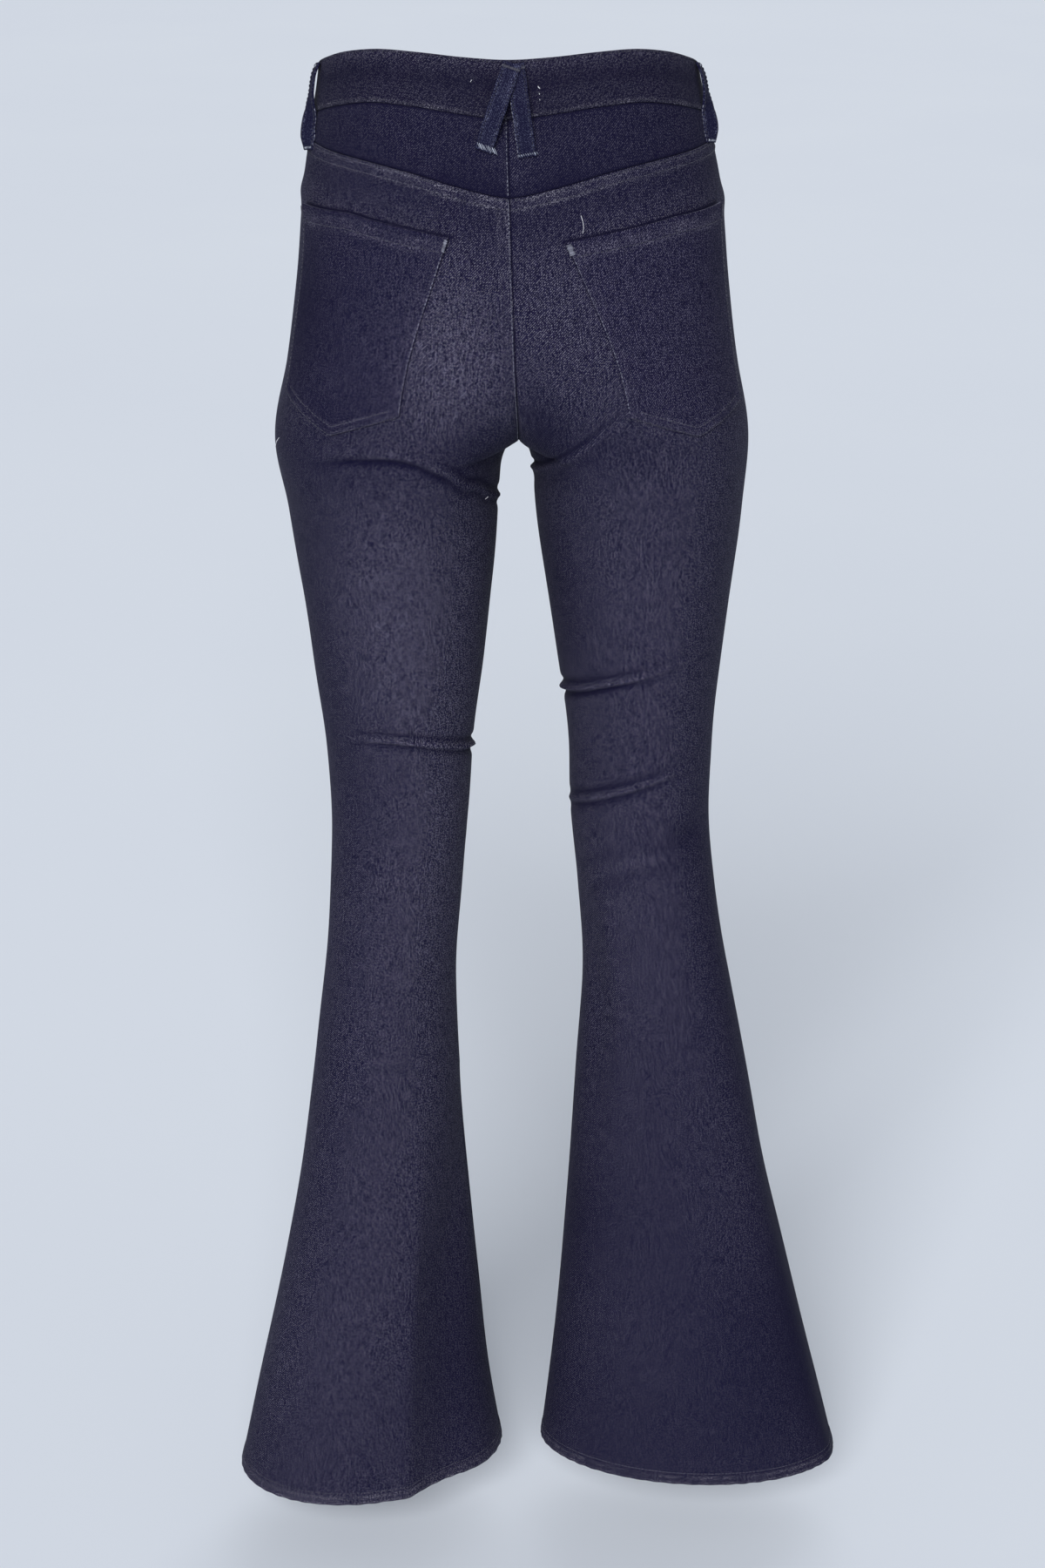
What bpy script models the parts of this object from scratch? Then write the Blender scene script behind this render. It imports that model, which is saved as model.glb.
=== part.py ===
"""Flared five-pocket jeans, in the shape that they hold on a standing wearer.

Metres, +Z up. The wearer faces -Y and the wearer's left is +X. The origin is the
middle of the waist opening, level with the top of the waistband at the centre back.

Lengths in the tables are centimetres, as a pattern cutter takes them. A place on
the cloth is (leg, s, down): leg is +1 for the wearer's left and -1 for the right,
s runs from 0 at the centre back seam or inseam, over 0.5 at the side seam, to 1 at
the centre front or the inseam again, and down is the drop below the waist.
"""

import math

import bmesh
import bpy
import numpy as np
from mathutils import Vector

CM = 0.01

# Cloth, in cm
CLOTH = 0.12  # one thickness of stretch denim
FOLDED_CLOTH = 0.24  # the waistband and the hems
FOLDED_PROUD = 0.06  # how far those stand out from the panel beside them
LOOP_CLOTH = 0.15
SEAM_GAP = 0.03  # between neighbouring pieces, across a seam or from layer to layer

# Levels, as drops below the waist, in cm
HIP = 20.0  # where the seat seams start to curve under
CROTCH = 28.0
MERGE_TOP, MERGE_BOTTOM = 20.0, 34.0  # the torso's sides turn into legs between these
SEAM_REACH = 0.15  # share of the way out to the side that the seat seam's curve shapes
CROTCH_ARCH = 2.5  # the gap between the legs is rounded for this far below the crotch
HEM_TOP = 114.8
HEM = 116.0


def table(names, *rows):
    """The rows as one array for each named column."""
    return dict(zip(names.split(), np.array(rows, float).T))


# ---------------------------------------------------------------- the worn shape

# The torso's sections: the centre line, the reach to each side, how far back the
# back, the side seams and the front lie, and the power of the superellipse that each
# section is, which grows squarer where the two legs make it up.
TORSO = table(
    "down  centre  left   right   back   seam  front  square",
    (-1.0, 0.00, 12.75, -12.60, 9.3, 0.3, -9.3, 2.25),
    (4.5, 0.00, 13.60, -13.80, 10.4, 0.3, -10.0, 2.25),
    (10.0, -0.15, 14.50, -15.05, 11.6, 0.4, -10.4, 2.3),
    (16.0, -0.35, 15.05, -15.65, 12.8, 0.5, -10.4, 2.4),
    (22.0, -0.55, 16.00, -16.50, 12.8, 0.6, -9.6, 2.6),
    (28.0, -0.75, 17.00, -17.45, 11.2, 0.6, -8.6, 2.8),
    (34.0, -0.75, 16.10, -17.10, 9.6, 0.6, -8.5, 2.8),
)

# The leg's sections: its inner and outer side, its back, side seam and front, and
# how much further back its outer side stands than its inner one.
LEG_COLUMNS = "down  inner  outer  back  seam  front  turn"
LEGS = {
    1: table(
        LEG_COLUMNS,
        (20.0, 0.30, 15.70, 12.6, 0.6, -9.5, 0.4),
        (28.0, 0.45, 17.00, 11.0, 0.6, -8.6, 0.5),
        (33.0, 0.80, 16.20, 9.7, 0.6, -8.5, 0.5),
        (38.0, 1.15, 15.55, 8.9, 0.5, -8.4, 0.5),
        (45.0, 1.90, 14.72, 7.9, 0.4, -7.9, 0.5),
        (52.0, 2.75, 13.98, 6.6, 0.2, -7.2, 0.6),
        (57.5, 3.15, 13.72, 5.7, 0.0, -6.5, 0.8),
        (64.0, 3.70, 14.00, 5.6, 0.1, -6.0, 1.0),
        (72.0, 4.25, 14.75, 5.9, 0.3, -5.8, 1.4),
        (80.0, 4.05, 15.70, 6.4, 0.5, -5.8, 1.8),
        (90.0, 3.35, 17.15, 7.1, 0.6, -6.1, 2.2),
        (100.0, 2.60, 19.15, 7.9, 0.8, -6.5, 2.6),
        (108.0, 1.95, 20.90, 8.5, 0.9, -6.9, 2.9),
        (116.0, 0.80, 22.60, 9.0, 1.0, -7.3, 3.2),
    ),
    -1: table(
        LEG_COLUMNS,
        (20.0, -1.40, -16.25, 12.6, 0.6, -9.5, 0.2),
        (28.0, -1.60, -17.45, 11.0, 0.6, -8.6, 0.2),
        (33.0, -1.95, -17.15, 9.7, 0.6, -8.5, 0.2),
        (38.0, -2.60, -16.65, 8.9, 0.5, -8.4, 0.2),
        (45.0, -3.65, -15.90, 7.9, 0.4, -7.9, 0.2),
        (52.0, -4.50, -15.45, 6.6, 0.2, -7.2, 0.2),
        (57.5, -4.70, -15.35, 5.6, 0.0, -6.5, 0.3),
        (64.0, -5.30, -16.00, 5.4, 0.0, -6.0, 0.5),
        (72.0, -5.75, -17.40, 5.4, -0.1, -5.8, 0.8),
        (80.0, -5.30, -19.10, 5.5, -0.2, -5.8, 1.0),
        (90.0, -4.75, -21.15, 5.7, -0.3, -6.0, 1.2),
        (100.0, -4.10, -23.60, 6.0, -0.4, -6.3, 1.4),
        (108.0, -3.45, -25.55, 6.2, -0.4, -6.5, 1.5),
        (116.0, -2.60, -27.55, 6.4, -0.4, -6.8, 1.6),
    ),
}

# The largest folds. Each runs from one place to another, rises by its height (sinks,
# if that is negative) and fades out over its width to either side. The knees and the
# seat are creased behind, and the groin and the shins in front.
FOLD_COLUMNS = "s0  down0  s1  down1  bow  height  width"
FOLDS = {
    1: table(
        FOLD_COLUMNS,
        (-0.02, 32.6, 0.32, 27.0, -1.1, -0.30, 1.0),
        (-0.04, 52.6, 0.34, 49.4, 0.0, 0.40, 0.9),
        (0.66, 25.0, 1.00, 30.5, 0.8, -0.25, 1.3),
        (0.64, 58.0, 0.98, 60.5, 0.5, 0.25, 1.4),
    ),
    -1: table(
        FOLD_COLUMNS,
        (-0.02, 30.6, 0.17, 25.6, -0.6, -0.30, 0.9),
        (-0.05, 47.2, 0.36, 43.4, 0.3, 0.30, 0.9),
        (0.00, 56.2, 0.40, 51.8, 0.5, 0.28, 0.9),
        (0.68, 25.6, 1.00, 30.0, 0.7, -0.25, 1.2),
        (0.66, 59.5, 0.97, 57.5, 0.5, 0.22, 1.5),
    ),
}


def at(columns, name, place, key="down"):
    """A column of a table at any place, on a smooth curve through its rows."""
    x, y = columns[key], columns[name]
    slope = np.gradient(y, x)
    i = np.clip(np.searchsorted(x, place) - 1, 0, len(x) - 2)
    step = x[i + 1] - x[i]
    t = (place - x[i]) / step
    rise = (1 + 2 * t) * (1 - t) ** 2 * y[i] + t**2 * (3 - 2 * t) * y[i + 1]
    return rise + step * t * (1 - t) * ((1 - t) * slope[i] - t * slope[i + 1])


def depth_of(columns, down, share):
    """How far back a section lies: its front at -1, its side seam at 0, its back at 1."""
    seam = at(columns, "seam", down)
    far = np.where(share > 0, at(columns, "back", down), at(columns, "front", down))
    return seam + (far - seam) * np.abs(share)


def form(leg, s, down):
    """Points of the outer face without its folds, in cm."""
    s, down = np.broadcast_arrays(np.asarray(s, float), np.asarray(down, float))
    past_centre = (down < CROTCH) & ((s < 0) | (s > 1))
    s = np.where(past_centre, np.where(s < 0, -s, 2 - s), np.where(s == 1, s, s % 1.0))
    sections = LEGS[leg]
    centre = at(TORSO, "centre", down)
    side = at(TORSO, "left" if leg > 0 else "right", down)
    inner, outer = at(sections, "inner", down), at(sections, "outer", down)

    # Torso and leg share one measure round them: the share of the way out to the side.
    out_share = np.sin(np.pi * s) ** 2
    square = at(TORSO, "square", down)
    depth = np.clip(1 - out_share**square, 0, None) ** (1 / square) * np.where(s > 0.5, -1, 1)
    torso_x = centre + (side - centre) * out_share
    torso_y = depth_of(TORSO, down, depth)
    leg_x = inner + (outer - inner) * out_share
    leg_y = depth_of(sections, down, np.sin(2 * np.pi * s))
    leg_y = leg_y + at(sections, "turn", down) * (out_share - 0.5)

    # The seat seam curves under as a quarter ellipse; away from it the torso turns into
    # a leg gently, over a longer drop.
    fallen = (down - HIP) / (CROTCH - HIP)
    at_seam = 1 - np.sqrt(1 - np.clip(fallen, 0, 1) ** 2)
    passed = np.clip((down - MERGE_TOP) / (MERGE_BOTTOM - MERGE_TOP), 0, 1)
    away = passed**2 * (3 - 2 * passed)
    nearness = np.exp(-((out_share / SEAM_REACH) ** 2))
    leg_share = nearness * at_seam + (1 - nearness) * away
    x = (1 - leg_share) * torso_x + leg_share * leg_x
    y = (1 - leg_share) * torso_y + leg_share * leg_y

    # Just under that seam the two legs draw together into a rounded arch.
    fork = depth_of(sections, CROTCH, 0.0) - at(sections, "turn", CROTCH) / 2
    torso_down = np.minimum(down, CROTCH)
    seat, belly = at(TORSO, "back", torso_down), at(TORSO, "front", torso_down)
    from_fork = np.clip((y - fork) / (np.where(y > fork, seat, belly) - fork), 0, 1)
    below_seam = (fallen - np.sqrt(1 - from_fork**2)) * (CROTCH - HIP)
    opened = np.sqrt(1 - (1 - np.clip(below_seam / CROTCH_ARCH, 0, 1)) ** 2)
    x = x - (1 - opened) * nearness * leg_share * (inner - centre)

    x = np.where(past_centre, 2 * centre - x, x)
    return np.stack([x, y, -down], -1)


def outward(leg, s, down):
    """Unit normals of the outer face."""
    step_s, step_down = 0.004, 0.2
    around = form(leg, s + step_s, down) - form(leg, s - step_s, down)
    along = form(leg, s, down + step_down) - form(leg, s, down - step_down)
    normal = np.cross(around, along) * leg
    return normal / np.linalg.norm(normal, axis=-1, keepdims=True)


def fold_relief(leg, s, down):
    """How far the folds lift the cloth, in cm."""
    folds = FOLDS[leg]
    lift = np.zeros(np.shape(down))
    for s0, down0, s1, down1, bow, height, width in zip(*folds.values()):
        run = np.clip((s - s0) / (s1 - s0), 0, 1)
        crest = down0 + (down1 - down0) * run + bow * np.sin(np.pi * run)
        lift = lift + height * np.sin(np.pi * run) ** 0.7 * np.exp(-(((down - crest) / width) ** 2))
    return lift


def cloth(leg, s, down, out=0.0):
    """Points in cm, moved out from the outer face by a distance."""
    s, down = np.broadcast_arrays(np.asarray(s, float), np.asarray(down, float))
    lift = np.asarray(out + fold_relief(leg, s, down))
    return form(leg, s, down) + outward(leg, s, down) * lift[..., None]


# ---------------------------------------------------------------- the cut lines

# The waistband's top edge and its seam, from the centre back round to the front.
WAIST = table(
    "s     top    seam",
    (0.00, 0.10, 3.90),
    (0.10, 0.06, 3.80),
    (0.17, -0.08, 3.52),
    (0.24, -0.30, 3.18),
    (0.31, -0.35, 3.08),
    (0.37, 0.00, 3.50),
    (0.44, 0.75, 4.25),
    (0.50, 1.40, 5.00),
    (0.60, 2.05, 5.75),
    (0.72, 2.60, 6.35),
    (0.85, 2.98, 6.80),
    (1.00, 3.10, 6.95),
)
YOKE_SEAM = table(
    "s     down",
    (0.00, 9.00),
    (0.10, 8.75),
    (0.17, 8.20),
    (0.24, 7.45),
    (0.31, 6.92),
    (0.42, 6.52),
    (0.50, 6.35),
)

# Back panel columns: centre seam, pocket's inner side, its point, its outer side and
# the side seam are at these column numbers. POCKETS gives the pocket's top and bottom
# rows there.
BACK_COLUMNS = 12
STATIONS = (0, 5, 8, 11, BACK_COLUMNS)
POCKET_FIRST, POCKET_LAST = 5, 11
POCKETS = {
    1: table(
        "top_s  top_down  bottom_s  bottom_down",
        (0.000, 11.9, 0.000, 24.40),
        (0.176, 11.5, 0.240, 23.75),
        (0.330, 10.35, 0.331, 25.65),
        (0.436, 10.5, 0.433, 23.40),
        (0.500, 10.4, 0.500, 24.40),
    ),
    -1: table(
        "top_s  top_down  bottom_s  bottom_down",
        (0.000, 11.9, 0.000, 24.40),
        (0.164, 11.8, 0.240, 23.80),
        (0.330, 10.6, 0.335, 25.75),
        (0.432, 10.4, 0.437, 24.10),
        (0.500, 10.4, 0.500, 24.40),
    ),
}
POCKET_ROWS = 5  # rows of points in a pocket

# Front panel: the scooped pocket opening is a quarter ellipse in its top outer corner.
SCOOP_S = 0.69
SCOOP_SIDE = 10.35
SCOOP_COLUMNS = (0.0, 0.26, 0.5, 0.77, 0.94, 1.0)  # shares of the scoop's width
FRONT_S = (0.74, 0.79, 0.845, 0.9, 0.95, 1.0)

# Drops of the rows below the pocket, closer together where the seat curves under,
# at the arch between the legs and over the knee folds
UNDER_TURNS = (54, 72, 90)  # degrees of the quarter ellipse
ARCH_TURNS = (30, 60, 90)
LEG_ROWS = (
    33, 36, 39.5, 43, 44.5, 46, 47.5, 49, 50.5, 52, 53.5, 55, 56.5,
    58.5, 62, 67, 73, 80, 88, 96, 104, 110,
)  # fmt: skip
# The rows where a back and a front are parted into solids one below the other
BACK_PARTS, BACK_PARTINGS = ("seat", "thigh", "leg"), (33, 46)
FRONT_PARTS, FRONT_PARTINGS = ("upper", "lower"), (46,)

WAIST_UNDERLAP_S = 0.845  # how far the right end runs on under the left one
FLY_LENGTH = 14.0
FLY_S = 0.79

# Belt loops: how far out to the side each one starts and ends, as shares of the way
# from the centre back, or from the centre front where the mark is -1, how far its
# lower end drops below the waist, and whether it lies over another.
LOOP_WIDTH = 1.25
LOOP_STAND_OFF = 0.64
LOOP_SHAPE = (0.0, 0.40, 0.8, 1.0, 1.0, 0.95, 0.75, 0.35, 0.0)  # stand-off down its length
LOOP_LIFT = 0.25  # how far the upper of the crossed loops stands above the lower one's seat
LOOP_PARTED = 0.5  # those two lie clear of each other for this share of their length
LOOPS = {
    "loop_cross_under": (1, 1, -0.040, -0.093, 6.25, 0),
    "loop_cross_over": (1, 1, -0.025, 0.118, 5.85, 1),
    "loop_side_left": (1, 1, 0.992, 0.992, 7.0, 0),
    "loop_side_right": (-1, 1, 0.992, 0.992, 7.0, 0),
    "loop_front_left": (1, -1, 0.510, 0.500, 8.9, 0),
    "loop_front_right": (-1, -1, 0.510, 0.500, 8.9, 0),
}

BUTTON_S = 0.885
BUTTON_PROFILE = (  # radius and height, in cm, from the centre of its back to its front
    (0.0, 0.0), (0.28, 0.0), (0.28, 0.12), (0.80, 0.12), (0.86, 0.20),
    (0.80, 0.30), (0.62, 0.34), (0.50, 0.29), (0.0, 0.29),
)  # fmt: skip
BUTTON_SIDES = 20


# ---------------------------------------------------------------- building the solids


def material(name, colour, roughness, metallic=0.0):
    made = bpy.data.materials.new(name)
    made.use_nodes = True
    shader = made.node_tree.nodes["Principled BSDF"]
    shader.inputs["Base Color"].default_value = (*colour, 1.0)
    shader.inputs["Roughness"].default_value = roughness
    shader.inputs["Metallic"].default_value = metallic
    made.diffuse_color = (*colour, 1.0)
    return made


def add_object(name, mesh_data, finish, parent):
    """One object from points in cm and faces, closed and facing out."""
    points, faces = mesh_data
    mesh = bpy.data.meshes.new(name)
    mesh.from_pydata((np.asarray(points) * CM).tolist(), [], faces)
    shape = bmesh.new()
    shape.from_mesh(mesh)
    bmesh.ops.recalc_face_normals(shape, faces=shape.faces)
    shape.to_mesh(mesh)
    shape.free()
    mesh.shade_smooth()
    mesh.set_sharp_from_angle(angle=math.radians(40))
    mesh.materials.append(finish)
    made = bpy.data.objects.new(name, mesh)
    bpy.context.scene.collection.objects.link(made)
    made.parent = parent
    return made


def drawn_in(outer, inner, ring):
    """Both faces of a sheet with each cut edge drawn in by half a seam gap."""
    outer, inner = outer.copy(), inner.copy()
    edges = [((0, slice(None)), (1, slice(None))), ((-1, slice(None)), (-2, slice(None)))]
    if not ring:
        edges += [((slice(None), 0), (slice(None), 1)), ((slice(None), -1), (slice(None), -2))]
    for edge, beside in edges:
        inwards = outer[beside] - outer[edge]
        inwards *= SEAM_GAP / 2 / np.linalg.norm(inwards, axis=-1, keepdims=True)
        outer[edge] += inwards
        inner[edge] += inwards
    return outer, inner


def sheet(outer, inner, ring=False):
    """A closed wall between two grids of points, with its cut edges drawn in."""
    outer, inner = drawn_in(outer, inner, ring)
    rows, columns = outer.shape[:2]
    points = np.concatenate([outer.reshape(-1, 3), inner.reshape(-1, 3)])
    inside = rows * columns
    faces = []

    def wall(a, b):
        """The strip of edge wall between two neighbouring points of a border."""
        faces.append((a, b, b + inside, a + inside))

    spans = columns if ring else columns - 1
    for i in range(rows - 1):
        for j in range(spans):
            a, b = i * columns + j, i * columns + (j + 1) % columns
            c, d = b + columns, a + columns
            for triangle in ((a, b, c), (a, c, d)):
                faces.append(triangle)
                faces.append(tuple(inside + k for k in reversed(triangle)))
    for j in range(spans):
        wall(j, (j + 1) % columns)
        wall((rows - 1) * columns + j, (rows - 1) * columns + (j + 1) % columns)
    if not ring:
        for i in range(rows - 1):
            wall(i * columns, (i + 1) * columns)
            wall(i * columns + columns - 1, (i + 2) * columns - 1)
    return points, faces


def panel(leg, s, down, out=0.0, thickness=CLOTH, ring=False):
    """A sheet along a grid of places, its outer face moved out by a distance."""
    return sheet(cloth(leg, s, down, out), cloth(leg, s, down, out - thickness), ring)


def lower_rows(columns):
    """The rows of a panel from the arch between the legs to the hem."""
    arch = [CROTCH + CROTCH_ARCH * (1 - math.cos(math.radians(turn))) for turn in ARCH_TURNS]
    downs = [*arch, *LEG_ROWS, HEM_TOP]
    return np.repeat(np.array(downs, float)[:, None], columns, axis=1)


def under_rows(bottom):
    """The rows between the pocket's bottom row and the crotch: shares of the way down."""
    start = bottom[0]
    drops = [HIP + (CROTCH - HIP) * math.sin(math.radians(turn)) for turn in UNDER_TURNS]
    return [(drop - start) / (CROTCH - start) for drop in drops]


def back_grid(leg):
    """Places of the back panel's points: its rows follow the yoke seam and the pocket."""
    column = np.arange(BACK_COLUMNS + 1)
    even = column / BACK_COLUMNS / 2
    pocket = POCKETS[leg]
    top_s, top_down, bottom_s, bottom_down = (
        np.interp(column, STATIONS, pocket[name]) for name in pocket
    )
    yoke = np.interp(even, YOKE_SEAM["s"], YOKE_SEAM["down"])
    s, down = [even], [yoke]
    for share in np.linspace(0, 1, POCKET_ROWS):
        s.append(top_s + (bottom_s - top_s) * math.sin(share * math.pi / 2))
        down.append(top_down + (bottom_down - top_down) * share)
    for share in under_rows(bottom_down):
        s.append(bottom_s + (even - bottom_s) * share)
        down.append(bottom_down + (CROTCH - bottom_down) * share)
    below = lower_rows(len(column))
    return np.vstack([*s, np.broadcast_to(even, below.shape)]), np.vstack([*down, below])


def front_columns():
    scoop = 0.5 + (SCOOP_S - 0.5) * np.array(SCOOP_COLUMNS)
    return np.concatenate([scoop, FRONT_S])


def waist_seam(s):
    return at(WAIST, "seam", s, "s")


def front_grid(leg):
    """Places of the front panel's points: its top row follows the pocket scoop."""
    s = front_columns()
    share = np.clip((s - 0.5) / (SCOOP_S - 0.5), 0, 1)
    top = waist_seam(s) + (SCOOP_SIDE - waist_seam(0.5)) * np.sqrt(1 - share**2)
    to_front = (s - 0.5) / 0.5
    pocket = POCKETS[leg]
    side_top, side_bottom = pocket["top_down"][-1], pocket["bottom_down"][-1]
    bottom = side_bottom + (pocket["bottom_down"][0] - side_bottom) * to_front
    first = side_top + (side_bottom - side_top) / (POCKET_ROWS - 1)
    down = [top, (top + first) / 2]
    for share in np.linspace(0, 1, POCKET_ROWS)[1:]:
        down.append(side_top + (bottom - side_top) * share)
    for share in under_rows(pocket["bottom_down"]):
        down.append(bottom + (CROTCH - bottom) * share)
    down = np.vstack([*down, lower_rows(len(s))])
    return np.broadcast_to(s, down.shape), down


def build_yoke(name, leg, finish, parent):
    s = np.arange(BACK_COLUMNS + 1) / BACK_COLUMNS / 2
    seam = np.interp(s, YOKE_SEAM["s"], YOKE_SEAM["down"])
    down = np.linspace(waist_seam(s), seam, 4)
    add_object(name, panel(leg, np.broadcast_to(s, down.shape), down), finish, parent)


def build_long_panel(name, leg, grid, parts, partings, finish, parent):
    """A back or front, as solids one below the other."""
    s, down = grid(leg)
    last = len(down) - 1
    cuts = [0, *(int(np.argmax(down[:, 0] == parting)) for parting in partings), last]
    for part, first, end in zip(parts, cuts, cuts[1:]):
        rows = slice(first, end + 1)
        add_object(f"{name}_{part}", panel(leg, s[rows], down[rows]), finish, parent)


def build_pocket(name, leg, finish, parent):
    """A patch made from the back panel's own points, moved out."""
    s, down = back_grid(leg)
    rows, columns = slice(1, 1 + POCKET_ROWS), slice(POCKET_FIRST, POCKET_LAST + 1)
    out = SEAM_GAP + CLOTH
    add_object(name, panel(leg, s[rows, columns], down[rows, columns], out), finish, parent)


def build_facing(name, leg, finish, parent):
    """The denim behind the scoop, running on under the front panel."""
    s = front_columns()[: len(SCOOP_COLUMNS) + 1]
    _, front_down = front_grid(leg)
    top = waist_seam(s)
    rows = [top, top + 0.45 * (SCOOP_SIDE - top), front_down[1, : len(s)], front_down[2, : len(s)]]
    down = np.vstack(rows)
    lowest = down[-2:].mean(axis=0)
    down[-1] = lowest
    out = -(CLOTH + 2 * SEAM_GAP)
    add_object(name, panel(leg, np.broadcast_to(s, down.shape), down, out), finish, parent)


def build_waistband(finish, parent):
    """From the left end at the centre front, round the back, to the right end under it."""
    s = np.concatenate([np.arange(BACK_COLUMNS) / BACK_COLUMNS / 2, front_columns()])
    inner_face = FOLDED_PROUD - FOLDED_CLOTH
    under = np.where(s == 1, inner_face - SEAM_GAP, FOLDED_PROUD)
    outer_side, inner_side = [], []
    runs = [(1, s[::-1], np.full(len(s), FOLDED_PROUD)), (-1, s[1:], under[1:])]
    past_front = s[s >= WAIST_UNDERLAP_S][-2::-1]
    runs.append((1, past_front, np.full(len(past_front), inner_face - SEAM_GAP)))
    for leg, places, out in runs:
        down = np.stack([at(WAIST, "top", places, "s"), waist_seam(places)])
        outer_side.append(cloth(leg, places, down, out))
        inner_side.append(cloth(leg, places, down, out - FOLDED_CLOTH))
    band = sheet(np.concatenate(outer_side, axis=1), np.concatenate(inner_side, axis=1))
    add_object("waistband", band, finish, parent)


def build_fly(finish, parent):
    """The shield behind the front opening, from the left front across to the right."""
    left = front_columns()[front_columns() >= FLY_S]
    down_top = waist_seam(1.0) + 2 * SEAM_GAP
    rows = np.linspace(0, 1, 4)
    outer_side, inner_side = [], []
    out = -(CLOTH + 2 * SEAM_GAP)
    for leg, places in ((1, left), (-1, left[-2:-3:-1])):
        top = np.maximum(waist_seam(places), down_top - 1)
        down = top + (down_top + FLY_LENGTH - top) * rows[:, None]
        outer_side.append(cloth(leg, places, down, out))
        inner_side.append(cloth(leg, places, down, out - CLOTH))
    fly = sheet(np.concatenate(outer_side, axis=1), np.concatenate(inner_side, axis=1))
    add_object("fly", fly, finish, parent)


def build_hem(name, leg, finish, parent):
    s = np.concatenate([np.arange(BACK_COLUMNS) / BACK_COLUMNS / 2, front_columns()[:-1]])
    down = np.array([[HEM_TOP], [HEM]]) + 0 * s
    ring = panel(leg, np.broadcast_to(s, down.shape), down, FOLDED_PROUD, FOLDED_CLOTH, ring=True)
    add_object(name, ring, finish, parent)


def build_loop(name, finish, parent):
    """A flat strap that stands off between its two sewn ends."""
    leg, mark, top_out, bottom_out, bottom_down, layers = LOOPS[name]
    share = np.linspace(0, 1, len(LOOP_SHAPE))
    out_share = top_out + (bottom_out - top_out) * share
    s = np.sign(out_share) * np.arcsin(np.sqrt(np.abs(out_share))) / np.pi
    s = s if mark > 0 else 1 - s
    top_down = at(WAIST, "top", abs(s[0]), "s") + 0.15
    down = top_down + (bottom_down - top_down) * share
    on_band = np.clip((waist_seam(np.abs(s)) - down) / 0.4, 0, 1) * FOLDED_PROUD
    on_layers = layers * LOOP_LIFT * np.clip((1 - share) / LOOP_PARTED, 0, 1)
    off = SEAM_GAP + on_band + on_layers + LOOP_STAND_OFF * np.array(LOOP_SHAPE)
    normal = outward(leg, s, down)
    face = form(leg, s, down) + normal * off[:, None]
    along = np.gradient(face, axis=0)
    across = np.cross(along, normal)
    across *= LOOP_WIDTH / 2 / np.linalg.norm(across, axis=1, keepdims=True)
    out = np.cross(across, along)
    out *= LOOP_CLOTH / np.linalg.norm(out, axis=1, keepdims=True)
    out *= np.sign((out * normal).sum(axis=1, keepdims=True))
    near = np.stack([face - across, face + across], axis=1)
    add_object(name, sheet(near + out[:, None], near), finish, parent)


def build_button(finish, parent):
    down = at(WAIST, "top", BUTTON_S, "s") + 1.9
    seat = cloth(1, BUTTON_S, down, FOLDED_PROUD + SEAM_GAP)
    normal = outward(1, BUTTON_S, down)
    shape = bmesh.new()
    profile = [shape.verts.new((radius * CM, 0, height * CM)) for radius, height in BUTTON_PROFILE]
    edges = [shape.edges.new(pair) for pair in zip(profile, profile[1:])]
    bmesh.ops.spin(
        shape, geom=profile + edges, cent=(0, 0, 0), axis=(0, 0, 1),
        angle=math.tau, steps=BUTTON_SIDES, use_merge=True,
    )  # fmt: skip
    bmesh.ops.remove_doubles(shape, verts=shape.verts, dist=1e-6)
    bmesh.ops.recalc_face_normals(shape, faces=shape.faces)
    mesh = bpy.data.meshes.new("button")
    shape.to_mesh(mesh)
    shape.free()
    mesh.shade_smooth()
    mesh.set_sharp_from_angle(angle=math.radians(40))
    mesh.materials.append(finish)
    made = bpy.data.objects.new("button", mesh)
    bpy.context.scene.collection.objects.link(made)
    made.parent = parent
    made.location = Vector(seat * CM)
    made.rotation_mode = "QUATERNION"
    made.rotation_quaternion = Vector((0, 0, 1)).rotation_difference(Vector(normal))


def main():
    for old in list(bpy.data.objects):
        bpy.data.objects.remove(old, do_unlink=True)
    parent = bpy.data.objects.new("jeans", None)
    bpy.context.scene.collection.objects.link(parent)

    denim = material("denim", (0.030, 0.030, 0.066), 0.85)
    seam_denim = material("folded_denim", (0.026, 0.027, 0.062), 0.85)
    metal = material("button_metal", (0.42, 0.36, 0.30), 0.35, 1.0)

    build_waistband(seam_denim, parent)
    build_fly(denim, parent)
    for side, leg in (("left", 1), ("right", -1)):
        build_yoke(f"yoke_{side}", leg, denim, parent)
        back, front = f"back_{side}", f"front_{side}"
        build_long_panel(back, leg, back_grid, BACK_PARTS, BACK_PARTINGS, denim, parent)
        build_long_panel(front, leg, front_grid, FRONT_PARTS, FRONT_PARTINGS, denim, parent)
        build_facing(f"facing_{side}", leg, denim, parent)
        build_pocket(f"pocket_{side}", leg, denim, parent)
        build_hem(f"hem_{side}", leg, seam_denim, parent)
    for name in LOOPS:
        build_loop(name, seam_denim, parent)
    build_button(metal, parent)


main()
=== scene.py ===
"""Flared jeans in dark indigo stretch denim, in the shape they are worn in.

Each section makes one piece, or one pair of pieces, in the order of sewing. Lengths in
the tables are centimetres. A place on the cloth is (leg, s, down): leg is +1 for the
wearer's left and -1 for the right, s runs from 0 at the centre back seam or inseam,
over 0.5 at the side seam, to 1 at the centre front or the inseam again, and down is
the drop below the waist.
"""

import math

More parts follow.
